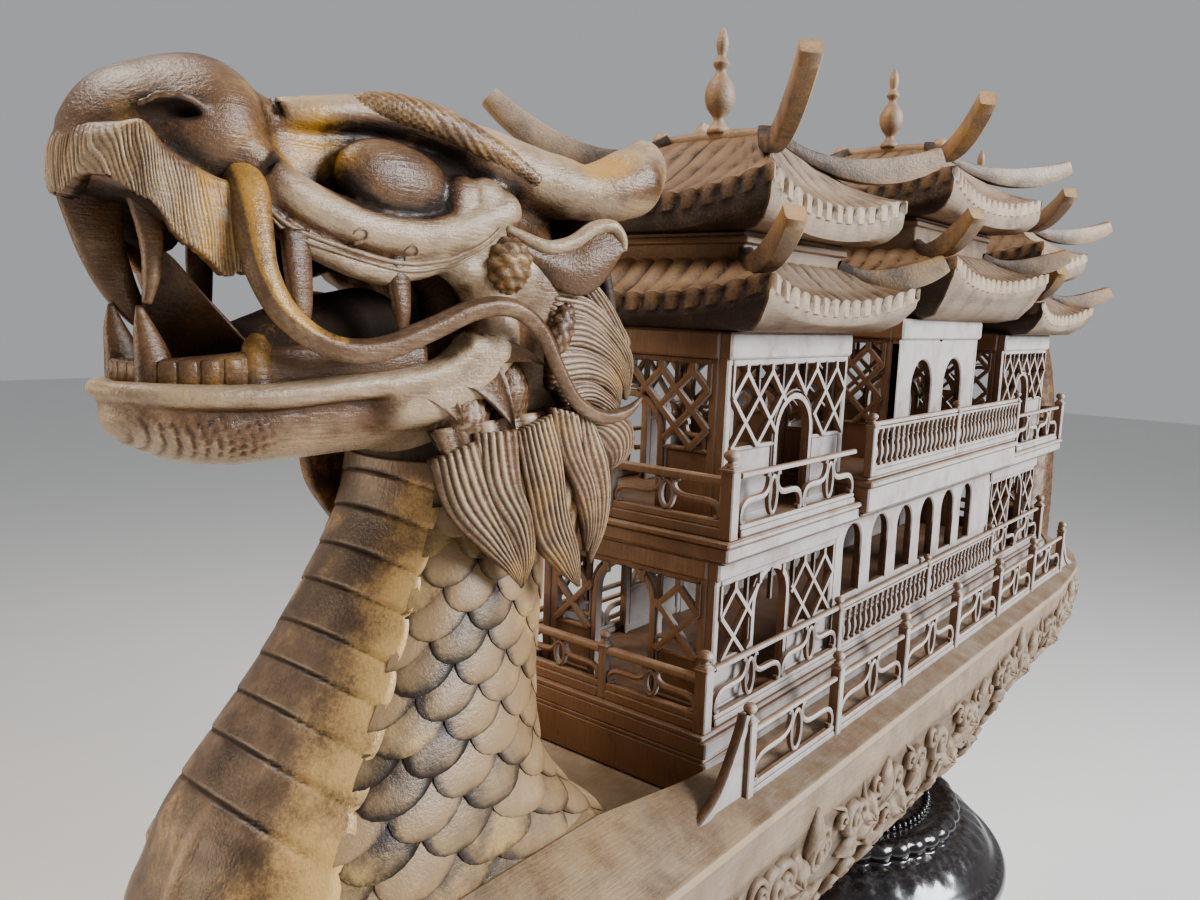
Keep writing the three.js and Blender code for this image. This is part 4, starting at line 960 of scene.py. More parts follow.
def tress(left, right, strands, depth=2.0, thick=15.0, fine=6, steps=32):
    """A pointed lock between a left and a right edge curve that meet at its tip."""
    left, right = smooth(left, steps)[:, None], smooth(right, steps)[:, None]
    u = np.linspace(0, 1, strands * fine + 1)[None, :, None]
    width = np.linalg.norm(right - left, axis=-1)
    girth = np.clip(width / width.max(), 0.12, 1) ** 0.7
    return combed(left * (1 - u) + right * u, strands, depth, thick, (1, -0.3, 0), 0.35, girth)


def nape(high, low, back, strands=18, fine=4, steps=12):
    """Combed hair behind the head: each strand runs on a quadratic curve from the root line
    past the middle line to the tip line."""
    wing, level = high - 14, (high + low) / 2 + 18
    root, middle, tip = (smooth(line, strands * fine + 1)[None] for line in (
        [(-58, -150, wing), (0, -140, high), (58, -150, wing)],
        [(-66, -118, level), (0, -100, level + 12), (66, -118, level)],
        [(-70, back - 8, low + 4), (0, back, low - 14), (70, back - 8, low + 4)]))
    v = np.linspace(0, 1, steps)[:, None, None]
    sheet = (1 - v) ** 2 * root + 2 * v * (1 - v) * middle + v ** 2 * tip
    return combed(sheet, strands, 2.2, 16, (0, 1, 0.3), 0.0, 1.0)


# Locks of the mane: left edge, right edge, number of strands.
MANE = [
    ([(70, -178, 372), (75, -165, 370), (79, -147, 352), (81, -133, 335), (82, -121, 324)],
     [(74, -160, 376), (80, -143, 364), (83, -127, 347), (83, -116, 333), (82, -120, 324)], 5),
    ([(72, -184, 348), (78, -160, 346), (82, -134, 331), (83, -120, 314), (83, -116, 298)],
     [(73, -176, 364), (80, -152, 358), (84, -132, 343), (85, -115, 324), (83, -113, 300)], 5),
    ([(74, -184, 326), (79, -160, 328), (83, -138, 320), (84, -124, 308), (83, -117, 296)],
     [(74, -182, 352), (81, -156, 348), (85, -134, 333), (86, -119, 316), (84, -115, 297)], 7),
    ([(76, -182, 304), (80, -160, 309), (83, -143, 306), (84, -131, 299), (82, -124, 292)],
     [(76, -184, 332), (82, -158, 329), (86, -139, 320), (86, -126, 307), (83, -121, 294)], 7),
    ([(79, -172, 292), (82, -154, 296), (84, -139, 290), (84, -128, 282), (82, -122, 276)],
     [(78, -182, 310), (83, -156, 310), (86, -140, 303), (86, -127, 293), (83, -120, 281)], 6),
    ([(82, -160, 280), (83, -148, 276), (83, -139, 266), (82, -132, 257), (81, -127, 251)],
     [(84, -142, 290), (85, -124, 287), (85, -112, 278), (84, -111, 263), (81, -126, 251)], 7),
]
BEARD = [
    ([(58, -258, 284), (66, -244, 254), (73, -226, 232), (77, -212, 214)],
     [(82, -162, 296), (84, -158, 268), (85, -158, 240), (84, -164, 214)], 7),
    ([(86, -172, 296), (87, -172, 268), (89, -163, 240), (89, -157, 217), (88, -154, 197)],
     [(87, -158, 288), (89, -146, 264), (90, -141, 241), (90, -143, 219), (88, -152, 196)], 5),
    ([(84, -193, 296), (86, -184, 268), (88, -172, 244), (89, -163, 222), (88, -158, 205)],
     [(86, -170, 290), (88, -164, 266), (90, -154, 244), (90, -151, 222), (88, -156, 204)], 5),
    ([(78, -214, 282), (82, -206, 247), (84, -200, 218), (86, -185, 200), (86, -163, 183)],
     [(84, -190, 292), (87, -184, 265), (89, -179, 235), (89, -168, 210), (87, -160, 183)], 8),
    ([(60, -260, 268), (65, -251, 239), (73, -233, 216), (79, -219, 202), (80, -206, 190)],
     [(71, -232, 280), (76, -226, 248), (81, -215, 222), (83, -208, 204), (81, -205, 190)], 7),
    ([(69, -238, 282), (73, -234, 250), (79, -221, 224), (82, -212, 206), (81, -206, 191)],
     [(79, -212, 284), (81, -211, 254), (85, -204, 232), (86, -202, 210), (82, -205, 191)], 6),
]


def mane():
    """Locks fanned back from the cheeks, and a combed nape behind the head."""
    stock = Stock()
    for left, right, strands in MANE:
        points, quads, tone = tress(left, right, strands, depth=1.8, thick=10, fine=5, steps=28)
        stock.add(points, quads, tone=tone, gilt=0.3, mirrored=True)
    for high, low, back in ((440, 330, -104), (380, 290, -96), (330, 262, -92)):
        points, quads, tone = nape(high, low, back)
        stock.add(points, quads, tone=tone, gilt=0.2)
    return stock.piece("mane", DRAGON)


def beard():
    """Six locks beside the neck on each side, parted near their tips."""
    for side, sign in SIDES:
        stock = Stock()
        for left, right, strands in BEARD:
            points, quads, tone = tress(left, right, strands)
            stock.add(points * [sign, 1, 1], quads, tone=tone, gilt=0.36)
        stock.piece(f"beard_{side}", DRAGON)


# Neck. Columns: z, middle y, half width, reach ahead, reach behind, and the powers that
# square the section ahead and behind.
NECK = np.array([
    (-176, -262, 60, 62, 60, 2.2, 2.2), (-140, -262, 90, 92, 96, 2.5, 2.3),
    (-60, -250, 101, 126, 130, 2.7, 3.0), (5, -242, 100, 146, 132, 2.8, 5.0),
    (35, -240, 94, 140, 106, 2.7, 4.0), (65, -236, 88, 131, 88, 2.6, 2.6),
    (100, -230, 80, 110, 80, 2.5, 2.3), (135, -223, 73, 89, 78, 2.4, 2.2),
    (180, -212, 66, 69, 76, 2.3, 2.2), (235, -200, 59, 54, 72, 2.2, 2.1),
    (300, -198, 56, 50, 60, 2.1, 2.1),
])
# How far the bands drop for each step back from the chest, square to the neck's lean.
LEAN = 0.55


def belly_edge(z):
    """The angle from the chest at which the belly's bands end and the scales begin."""
    return np.radians(50) - 0.1 * ramp(90, 190, z)


def neck_point(z, around):
    """A point of the neck: a rounded section that reaches further ahead than behind, drawn
    out level at each height. Around runs from the chest, 0, through port to the nape."""
    z, around = np.broadcast_arrays(np.asarray(z, float), np.asarray(around, float))
    rows = smooth(NECK, 400)
    middle, half, ahead, behind, front, rear = (np.interp(z, rows[:, 0], rows[:, k]) for k in range(1, 7))
    sine, cosine = np.sin(around), np.cos(around)
    power = np.where(cosine > 0, front, rear)
    bend = lambda value: np.sign(value) * np.abs(value) ** (2 / power)
    return together(half * bend(sine), middle - np.where(cosine > 0, ahead, behind) * bend(cosine), z)


def neck_outward(z, around):
    """The direction away from the neck, from two short steps round it and up it."""
    ring = neck_point(z, around + 0.001) - neck_point(z, around - 0.001)
    rise = neck_point(np.asarray(z) + 0.5, around) - neck_point(np.asarray(z) - 0.5, around)
    return unit(np.cross(ring, rise))


# The heights of the lines between the belly's bands, the pitch of the scale rows and the
# scales in a row on each side.
BANDS = np.array([62, 84.5, 107, 126.5, 146, 164.5, 187.5, 208, 231, 253, 275, 297])
SCALE_PITCH = 14.0
SCALES_ACROSS = 5


def neck():
    """The neck: plain under its scales, with broad belly bands ahead, flush but for the cut
    line between them, that end in a scalloped edge; below them a plain prow with a stem."""
    low, high = -174, 292
    grid = neck_point(np.linspace(low, high, 70)[:, None], np.linspace(0, 2 * np.pi, 65)[:-1])
    stock = Stock().add(*tube(grid, [0, -262, low], [0, -198, high]), tone=0.12, gilt=0.2)
    share = np.linspace(-1, 1, 49)
    share = share * (0.6 + 0.4 * share ** 2)
    height = np.append(np.linspace(-150, 69, 34), np.linspace(70, 262, 180))[:, None]
    back = neck_point(height, share * belly_edge(height))[..., 1] - neck_point(height, 0)[..., 1]
    phase = np.interp(height + LEAN * back, BANDS, np.arange(len(BANDS)))
    up = phase - np.floor(phase)
    banded = ramp(60, 66, height + LEAN * back)
    scallop = 0.05 * np.sin(np.pi * up) ** 0.5 * banded
    angle = share * (belly_edge(height) + scallop)
    cut = np.exp(-(np.minimum(up, 1 - up) / 0.04) ** 2) * banded
    board = 0.8 * (1 - up) * banded - 1.8 * cut
    stem = 2.4 * np.exp(-(share / 0.03) ** 2) * ramp(96, 60, height)
    outward = neck_outward(height, angle)
    outer = neck_point(height, angle) + outward * (3.2 + board + stem)[..., None]
    points, quads = slab(outer, outer - outward * 7)
    rim = np.exp(-((np.abs(share) - 1) / 0.04) ** 2)
    # The port half of the belly is a lighter tone: painted window light.
    tone = 0.3 + 0.22 * ramp(0.1, 0.8, share) - 0.4 * cut + 0.2 * rim + 0.3 * stem / 2.4
    # Gold laid on the port half of the belly at its middle heights: a painted warm patch of sunlight.
    painted_sunlit_gold = 0.62 * ramp(0.0, 0.85, share) * ramp(-60, 60, height) * ramp(268, 225, height)
    stock.add(points, quads, tone=backed(tone, 0.2), gilt=backed(0.2 + painted_sunlit_gold, 0.2))
    return stock.piece("dragon_neck", BELLY_WOOD)


def neck_scales():
    """Rounded plates that lap like tiles. Each is a grid whose width closes to a half circle
    at its lower edge and whose lower edge stands proud of the row beneath."""
    stock = Stock()
    u = np.linspace(-1, 1, 8)
    v = 1 - (1 - np.linspace(0, 1, 8)[:, None]) ** 1.7
    close = np.clip(1 - np.clip((v - 0.3) / 0.7, 0, 1) ** 2.2, 0, 1) ** 0.5
    for row in range(19):
        z0 = 266 - row * SCALE_PITCH
        sweep = np.linspace(belly_edge(z0) - 0.02, np.pi, 200)
        here = neck_point(z0, sweep)
        run = np.concatenate([[0], np.cumsum(np.linalg.norm(np.diff(here, axis=0), axis=1))])
        half_width = run[-1] / (2 * SCALES_ACROSS)
        for k in range(SCALES_ACROSS + 1 - row % 2):
            wobble = hashed(row, k)
            reach = (2 * k + row % 2) * half_width + u * close * half_width * (1.03 + 0.05 * wobble)
            around = np.interp(reach, run, sweep)
            height = z0 - v * 2.25 * SCALE_PITCH * (0.97 + 0.08 * wobble)
            lift = 0.6 + 3.6 * v + 0.9 * (1 - u ** 2) * np.sin(np.pi * v) ** 0.7 - 0.7 * v ** 8
            outward = neck_outward(height, around)
            outer = neck_point(height, around) + outward * lift[..., None]
            points, quads = slab(outer, outer - outward * (lift + 0.5)[..., None] * 0.7)
            rim = np.maximum(np.abs(u) ** 5, v ** 9)
            # Each scale is darker towards its top, under the row above, which is painted shade; darker along
            # its rim, its dark outline; and paler towards the nape, which is painted window light.
            face = 0.5 - 0.3 * (1 - v) ** 2 - 0.35 * rim + 0.35 * (wobble - 0.5)
            face = face + 0.2 * ramp(1.3, 2.4, around)
            gilt = 0.2 + 0.45 * hashed(k, row) * ramp(2.2, 1.0, around.mean())
            stock.add(points, quads, tone=backed(face, 0.0), gilt=gilt, mirrored=True)
    return stock.piece("neck_scales", SCALE_WOOD, (), crease=60)


dragon_head()
lip_hair()
whiskers()
brow_hair()
lip_lines()
teeth()
tongue()
ears()
cheek_knobs()
leaf_flaps()
mane()
beard()
neck()
neck_scales()

# The boat's own pieces.

def block(low, high, ease=1.0):
    """A board with eased edges: a chamfered square carried up through four rings."""
    low, high = np.minimum(low, high).astype(float), np.maximum(low, high).astype(float)
    ease = min(ease, 0.4 * (high - low).min())
    centre, (x, y, _) = (low + high) / 2, (high - low) / 2
    ring = np.array([(x, y - ease), (x - ease, y), (ease - x, y), (-x, y - ease)])
    inset = np.array([(1 - ease / x, 1 - ease / y), (1, 1), (1, 1), (1 - ease / x, 1 - ease / y)])
    rings = np.vstack([ring, -ring]) * inset[:, None] + centre[:2]
    height = np.array([low[2], low[2] + ease, high[2] - ease, high[2]])[:, None]
    return tube(together(rings[..., 0], rings[..., 1], height), [*centre[:2], low[2]], [*centre[:2], high[2]])


class Side:
    """A flat place to build on: a runs along it, b up it and c out of it."""

    def __init__(self, stock, origin, along, out):
        self.stock, self.origin = stock, np.array(origin, float)
        self.turn = np.array([along, (0, 0, 1), out], float)

    def put(self, part, tone):
        self.stock.add(np.asarray(part[0], float) @ self.turn + self.origin, *part[1:], tone=tone, gilt=0.1)

    def board(self, a0, a1, b0, b1, c0, c1, ease=0.8, tone=0.5):
        self.put(block((a0, b0, c0), (a1, b1, c1), ease), tone)

    def strip(self, path, wide, deep, power=4.0, count=8, tone=0.5, middle=0.0):
        """A bar along a path in the plane: so wide in the plane and so deep out of it."""
        path = np.insert(np.asarray(path, float), 2, middle, 1)
        scale = together(deep, wide) / 2
        self.put(swept(path, circle(count, power), side=(0, 0, 1), scale=scale), tone)

    def turned(self, profile, a):
        """A turned part that stands upright at a place along the side."""
        points, quads, ends = lathe(profile, 8)
        self.put((points[:, [0, 2, 1]] + [a, 0, 0], quads, ends), 0.5)


def arch(middle, half, low, spring, count=16):
    """The outline of a round-topped opening, from its foot on one side to the other."""
    turn = np.linspace(np.pi, 0, count)
    curve = together(middle + half * np.cos(turn), spring + half * np.sin(turn))
    return np.vstack([[middle - half, low], curve, [middle + half, low]])


# The width of the ring round a door, and how deep it and the lattice's bars are.
RING, BAR_DEEP = 5.5, 5.5


def lattice(side, a0, a1, b0, b1, columns, door, wide):
    """Crossed bars that make diamonds, each crossing pegged to the board above, cut off at
    the frame and at the door's ring."""
    pitch = (a1 - a0) / columns
    middle, half, spring = door
    b = b1 + (b0 - b1) * np.linspace(0, 1, 160)
    for k in range(-2 * columns, 3 * columns):
        for lean in (-1, 1):
            a = a0 + pitch * (k + 0.5) + lean * (b1 - b)
            clear = np.hypot(a - middle, np.maximum(b - spring, 0)) > half
            inside = (a > a0 - 0.5) & (a < a1 + 0.5) & clear
            edges = np.flatnonzero(np.diff(np.concatenate([[0], inside.astype(int), [0]])))
            for first, last in zip(edges[::2], edges[1::2] - 1):
                if last - first > 6:
                    side.strip([(a[first], b[first]), (a[last], b[last])], wide, BAR_DEEP, tone=0.62)
    for k in range(columns):
        top = a0 + pitch * (k + 0.5)
        side.strip([(top, b1 - 3), (top, b1 + 6)], wide * 1.1, BAR_DEEP, tone=0.6)
        for at in (top - pitch / 2, top + pitch / 2):
            side.strip([(at, b1 - pitch / 2 - 1), (at, b1 + 6)], wide * 0.8, BAR_DEEP * 0.7, tone=0.45)


def lattice_wall(side, width, low, high, columns, door, dado, wide=4.2, curls=False):
    """A pierced wall: stiles, a header, boards below, an arched door and lattice round it."""
    middle, half, top = door
    spring = top - half
    side.board(0, 7.5, low, high, -8, 0, 1.2, tone=0.6)
    side.board(width - 7.5, width, low, high, -8, 0, 1.2, tone=0.6)
    side.board(-1, width + 1, high - 20, high, -8, 3, 1.6, tone=0.62)
    side.board(7, width - 7, high - 25, high - 20, -7, 1, 0.8, tone=0.4)
    for a0, a1 in ((7, middle - half), (middle + half, width - 7)):
        side.board(a0, a1, low, dado, -6, -1.5, 0.8, tone=0.55)
        side.board(a0, a1, dado, dado + 3.5, -7, 0, 1.0, tone=0.65)
        side.board(a0, a1, low, low + 8, -7, 0.2, 1.0, tone=0.5)
        if curls:
            for k, lean in ((0.3, 1), (0.72, -1)):
                at = a0 + (a1 - a0) * k
                curl = scroll(at - 9, at + 9, dado + 2, dado + 24, lean, bend=2.2)
                side.strip(curl, 4.0, 5.0, 3, tone=0.7, middle=-3)
    side.strip(arch(middle, half + RING / 2, low, spring), RING, 8.5, 5, tone=0.66, middle=-3.2)
    side.strip(arch(middle, half + RING + 2.2, low, spring), 1.8, 7.0, 3, tone=0.4, middle=-3.2)
    lattice(side, 7, width - 7, dado + 3, high - 30, columns, (middle, half + RING + 1, spring), wide)


def window_wall(side, width, low, high, windows, half, sill, top):
    """A plain panel with a row of arched windows: each cell is the space between the
    window's outline and the cell's own edges, closed front, back and inside."""
    edges = np.concatenate([[0], (np.array(windows[1:]) + windows[:-1]) / 2, [width]])
    spring = top - half
    turn = np.linspace(np.pi, 0, 17)
    leg = np.linspace(sill, spring, 7)[:-1]
    foot = np.linspace(1, -1, 7)[1:-1]
    leg_out = low + (spring - low) * (leg - sill) / (spring - sill)
    for middle, a0, a1 in zip(windows, edges[:-1], edges[1:]):
        inner = np.vstack([
            together(middle - half, leg),
            together(middle + half * np.cos(turn), spring + half * np.sin(turn)),
            together(middle + half, leg[::-1]), together(middle + half * foot, sill)])
        wide = np.where(np.cos(turn) < 0, middle - a0, a1 - middle)
        reach = np.minimum(wide / np.maximum(np.abs(np.cos(turn)), 1e-6),
                           (high - spring) / np.maximum(np.sin(turn), 1e-6))
        outer = np.vstack([
            together(a0, leg_out),
            together(middle + reach * np.cos(turn), spring + reach * np.sin(turn)),
            together(a1, leg_out[::-1]),
            together(middle + np.where(foot > 0, a1 - middle, middle - a0) * foot, low)])
        lip = inner + 1.4 * unit(outer - inner)
        loops = ((outer, 0), (lip, 0), (inner, -1.4), (inner, -6.6), (lip, -8), (outer, -8))
        points = np.stack([np.insert(loop, 2, c, 1) for loop, c in loops], 1)
        tone = np.tile([0.62, 0.6, 0.35, 0.25, 0.4, 0.4], len(inner))
        side.put((points.reshape(-1, 3), grid_quads(len(inner), len(loops), True, True)), tone)


def scroll(a0, a1, b0, b1, lean, bend=1.7):
    """An S scroll drawn in a box: its heading turns ever faster towards both ends."""
    t = np.linspace(-1, 1, 104)
    turn = bend * np.pi * np.abs(t) ** 3.0
    speed = 1.15 - np.abs(t) ** 2 * 0.75
    path = np.cumsum(together(np.cos(turn), np.sin(turn)) * speed[:, None], axis=0)[::4]
    path = (path - path.min(0)) / (path.max(0) - path.min(0))
    if lean < 0:
        path[:, 0] = 1 - path[:, 0]
    return path * [a1 - a0, b1 - b0] + [a0, b0]


def fret(side, a0, a1, b0, b1, girth=4.4, deep=5.5):
    """Open scrollwork between two rails: S scrolls that lean on rings, with round buds."""
    tall, centre = b1 - b0, (b0 + b1) / 2
    count = max(1, round((a1 - a0) / (tall * 2.7)))
    cell = (a1 - a0) / count
    taper = girth * (0.55 + 0.6 * np.sin(np.pi * np.linspace(0.02, 0.98, 26)))
    turn = np.linspace(0, 2 * np.pi, 19)
    for left in a0 + cell * np.arange(count):
        for lean, start in ((1, 0.02), (-1, 0.56)):
            first, last = left + start * cell, left + (start + 0.42) * cell
            side.strip(scroll(first, last, b0 + 0.5, b1 - 0.5, lean), taper, deep, 2.6, count=6, tone=0.66)
            at = first + (last - first) * (0.5 + 0.24 * lean)
            bud = [(at + step, centre, 0) for step in (-3, 0, 3)]
            side.put(swept(bud, circle(8), scale=[[0.8], [2.6], [0.8]], side=(0, 0, 1)), 0.7)
        ring = together(left + cell * (0.5 + 0.06 * np.cos(turn)), centre + tall * 0.42 * np.sin(turn))
        side.strip(ring, girth * 0.8, deep, 2.6, count=6, tone=0.66)


# Outlines as (radius, share of the height).
BALUSTER = np.array([
    (0, 0), (3.4, 0), (3.4, 0.06), (1.9, 0.10), (2.3, 0.16), (3.6, 0.32), (3.2, 0.46), (1.6, 0.6),
    (1.5, 0.66), (2.5, 0.7), (1.6, 0.74), (2.0, 0.88), (2.9, 0.93), (2.9, 1), (0, 1),
])
BALL_CAP = np.array([
    (0, 0), (3.2, 0), (3.0, 0.1), (1.9, 0.2), (1.9, 0.28), (3.2, 0.42), (3.9, 0.6), (3.4, 0.8),
    (2.0, 0.95), (0, 1),
])
BALUSTER_PITCH = 12.5


def newel(stock, x, y, low, high, half, cap):
    """A square post with a moulded neck and a ball on it."""
    top = high - cap
    for size, z0, z1, ease, tone, gilt in (
        (half, low, top, 0.9, 0.6, 0.1), (half + 1, top - 4, top - 1.5, 0.8, 0.7, 0.0),
    ):
        stock.add(*block((x - size, y - size, z0), (x + size, y + size, z1), ease), tone=tone, gilt=gilt)
    stock.add(*lathe(BALL_CAP * [half / 3.4, cap] + [0, top], 14, (x, y)), tone=0.7)


def railing(side, a0, a1, floor, hand, kind, foot, round_rail, deep=6.0):
    """A rail between posts: a base board in two steps, a round hand rail, and scrollwork or
    turned balusters between."""
    side.board(a0, a1, floor, floor + foot * 0.6, -deep / 2 - 1, deep / 2 + 1, 1.0, tone=0.5)
    side.board(a0, a1, floor + foot * 0.6, floor + foot, -deep / 2, deep / 2, 0.8, tone=0.6)
    grip = hand - round_rail
    side.strip([(a0, grip), (a1, grip)], round_rail * 2, round_rail * 2.2, 2.4, 12, tone=0.72)
    low, high = floor + foot, hand - round_rail * 2
    if kind == "turned":
        side.board(a0, a1, high - 2.5, high, -deep / 2, deep / 2, 0.6, tone=0.5)
        count = max(2, round((a1 - a0) / BALUSTER_PITCH))
        for at in a0 + (a1 - a0) * (np.arange(count) + 0.5) / count:
            side.turned(BALUSTER * [1, high - 2.5 - low] + [0, low], at)
    else:
        fret(side, a0, a1, low, high)


# Y where each of the three roofed blocks begins and ends, and their own sizes. Columns:
# name, front, rear, half width of the walls, height of their top.
LENGTH = 864
BLOCKS = [("fore", 0, 204, 88, 340), ("mid", 300, 530, 96, 355), ("aft", 660, 864, 88, 340)]
BASE_TOP, DECK, ROOM_FLOOR = 42, 172, 192
GALLERY_FRONT, GALLERY_REAR, GALLERY_FLOOR = 195, 635, 215
# How far along the stand's axis and the outer balustrade's middle post stand.
MIDDLE = 415


def four_sides(stock, y0, y1, half):
    """The front, rear, port and starboard faces of a box, with their widths. The end faces
    stand between the side walls."""
    inset = 8.5
    return (
        (Side(stock, (inset - half, y0 + 0.5, 0), (1, 0, 0), (0, -1, 0)), 2 * (half - inset)),
        (Side(stock, (half - inset, y1 - 0.5, 0), (-1, 0, 0), (0, 1, 0)), 2 * (half - inset)),
        (Side(stock, (half, y0, 0), (0, 1, 0), (1, 0, 0)), y1 - y0),
        (Side(stock, (-half, y1, 0), (0, -1, 0), (-1, 0, 0)), y1 - y0),
    )


def lower_storey():
    """The long lower storey: pierced bays at both ends and a row of windows between."""
    stock = Stock()
    y0, y1, half = 0, LENGTH, BLOCKS[0][3]
    bay = 207
    for k, (side, width) in enumerate(four_sides(stock, y0, y1, half)):
        if k < 2:
            lattice_wall(side, width, BASE_TOP, DECK, 4, (width / 2, 27, 148), 84, wide=5.6, curls=True)
            continue
        for start in (0, width - bay):
            part = Side(stock, side.origin + side.turn[0] * start, side.turn[0], side.turn[2])
            door = 87 if start == 0 else bay - 87
            lattice_wall(part, bay, BASE_TOP, DECK, 5, (door, 26, 146), 84)
        middle = Side(stock, side.origin + side.turn[0] * bay, side.turn[0], side.turn[2])
        span = width - 2 * bay
        windows = sorted(37 + 65 * i if k == 2 else span - 37 - 65 * i for i in range(6))
        window_wall(middle, span, BASE_TOP, DECK, windows, 20, 92, 160)
    return stock.piece("lower_storey", PANEL, (
        "lower_front_wall", "lower_rear_wall", "lower_side_wall_port", "lower_side_wall_starboard",
    ), crease=35)


def rooms():
    """The three upper rooms: pierced walls fore and aft, and a plain room with two openings
    a side amidships."""
    for name, y0, y1, half, top in BLOCKS:
        stock = Stock()
        for k, (side, width) in enumerate(four_sides(stock, y0, y1, half)):
            if k >= 2 and name == "mid":
                low, high = ROOM_FLOOR + 20, top
                window_wall(side, width, low, high - 18, [width * 0.29, width * 0.69], 28, 226, 314)
                side.board(-2, width + 2, high - 20, high, -8, 4, 1.8, tone=0.64)
                side.board(0, 7, low, high - 18, -8, 0.6, 1.2, tone=0.6)
                side.board(width - 7, width, low, high - 18, -8, 0.6, 1.2, tone=0.6)
            elif k >= 2:
                door = 108 if (name == "fore") == (k == 2) else width - 108
                lattice_wall(side, width, ROOM_FLOOR, top, 5, (door, 27, 286), 250)
            else:
                lattice_wall(side, width, ROOM_FLOOR, top, 5, (width / 2, 27, 286), 248, wide=5.2,
                             curls=name == "fore")
        stock.piece(f"{name}_room", PANEL, tuple(
            f"{name}_room_{face}" for face in ("front", "rear", "side_port", "side_starboard")), crease=35)


def decks():
    """The pavilion's base and its upper deck with the gallery's, boards in steps."""
    for name, boards in (
        ("pavilion_base", (
            (105, -30, -10, 22, 1.5, 0.5), (103, -30, 22, 25, 0.6, 0.5), (104.5, -30, 25, 38, 1.2, 0.5),
            (101, -30, 38, BASE_TOP, 0.8, 0.5))),
        ("upper_deck", (
            (107, -22, DECK, 176, 1.4, 0.3), (113, -28, 176, 187, 1.4, 0.6),
            (115, -30, 187, ROOM_FLOOR, 1.4, 0.66), (116, GALLERY_FRONT, 178, 182, 1.4, 0.3),
            (121, GALLERY_FRONT, 182, 205, 1.4, 0.62), (123.5, GALLERY_FRONT, 205, 211, 1.4, 0.68),
            (120, GALLERY_FRONT, 211, GALLERY_FLOOR, 1.4, 0.55))),
    ):
        stock = Stock()
        for half, y0, low, high, ease, tone in boards:
            y1 = GALLERY_REAR if y0 == GALLERY_FRONT else LENGTH - y0
            stock.add(*block((-half, y0, low), (half, y1, high), ease), tone=tone)
        stock.piece(name, PANEL, crease=35)


# Rails across the ends. Columns: name, X that runs with the rail, Y, half width, floor, top
# of the hand rail, top of the corner posts.
END_RAILS = [
    ("lower_rail_front", 1, -21, 95, BASE_TOP, 86, 106),
    ("lower_rail_rear", -1, LENGTH + 21, 95, BASE_TOP, 86, 106),
    ("upper_rail_front", 1, -21, 108, ROOM_FLOOR, 238, 258),
    ("upper_rail_rear", -1, LENGTH + 21, 108, ROOM_FLOOR, 238, 258),
]
# Rails along each side. Columns: name, X, the ends and the posts between them, floor, top of
# the hand rail, what fills each bay.
SIDE_RAILS = [
    ("lower_rail", 95, (-12, 207, 432, 657, LENGTH + 12), BASE_TOP, 90, ("fret", "turned", "turned", "fret")),
    ("upper_rail_fore", 108, (-12, 190), ROOM_FLOOR, 240, ("fret",)),
    ("upper_rail_aft", 108, (674, LENGTH + 12), ROOM_FLOOR, 240, ("fret",)),
    ("gallery_rail", 118, (196, MIDDLE, 634), GALLERY_FLOOR, 264, ("turned", "turned")),
]
OUTER_X, OUTER_PITCH = 136, 146


def side_rail(stock, port, x, stops, gap, floor, hand, kinds, foot, round_rail, deep=6.0):
    """Rails between stops along one side of the boat."""
    side = Side(stock, (port * x, 0 if port > 0 else LENGTH, 0), (0, port, 0), (port, 0, 0))
    for a, b, kind in zip(stops[:-1], stops[1:], kinds):
        first, last = (a, b) if port > 0 else (LENGTH - b, LENGTH - a)
        railing(side, first + gap, last - gap, floor, hand, kind, foot, round_rail, deep)


def rails():
    """The railings of both storeys, the gallery and the boat's edge, with their newels."""
    for name, way, y, half, floor, hand, post in END_RAILS:
        stock = Stock()
        side = Side(stock, (-half * way, y, 0), (way, 0, 0), (0, -way, 0))
        for a0, a1 in ((5, half - 4), (half + 4, 2 * half - 5)):
            railing(side, a0, a1, floor, hand, "fret", 14, 3.6, 7)
        for x in (-half, half):
            newel(stock, x, y, floor, post, 5.4, 12)
        newel(stock, 0, y, floor, post - 8, 4, 9)
        stock.piece(name, PANEL, crease=35)
    for tag, port in SIDES:
        for name, x, stops, floor, hand, kinds in SIDE_RAILS:
            stock = Stock()
            side_rail(stock, port, x, stops, 4, floor, hand, kinds, 9, 2.4)
            ends = (stops[0] + 2, stops[-1] - 2) if name == "gallery_rail" else ()
            for y in (*stops[1:-1], *ends):
                newel(stock, port * x, y, floor, hand + 8, 4.0, 9)
            stock.piece(f"{name}_{tag}", PANEL, crease=35)
        stock = Stock()
        stops = [MIDDLE + k * OUTER_PITCH for k in range(-3, 4)]
        side_rail(stock, port, OUTER_X, stops, 5, 4, 58, ["fret"] * 6, 11, 2.4, 5)
        for y in stops:
            newel(stock, port * OUTER_X, y, 2, 78, 4.6, 11)
        bracket(stock, port, stops[0], -1)
        bracket(stock, port, stops[-1], 1)
        stock.piece(f"outer_balustrade_{tag}", PANEL, crease=35)


def bracket(stock, port, post, way):
    """The wing at each end of the outer balustrade: a plate under a hollow curve that falls
    from the post to the plank, with a moulding along the curve."""
    t = np.linspace(0, 1, 30)
    along = post + way * (4 + 68 * t ** 0.9 * (1 - 0.16 * np.sin(np.pi * t)))
    upper = together(OUTER_X - 2.0, along, 70 - 66 * t ** 0.62 - 6 * np.sin(np.pi * t))
    lower = together(OUTER_X - 2.0, along, 2.0)
    middle = np.stack([upper, (upper + lower) / 2, lower], 1)
    points, quads = slab(middle + [2.2, 0, 0], middle - [2.2, 0, 0])
    stock.add(points * [port, 1, 1], quads, tone=0.6)
    points, quads, ends = swept(upper, circle(10, 3), scale=4.4)
    stock.add(points * [port, 1, 1], quads, ends, tone=0.35, gilt=0.3)


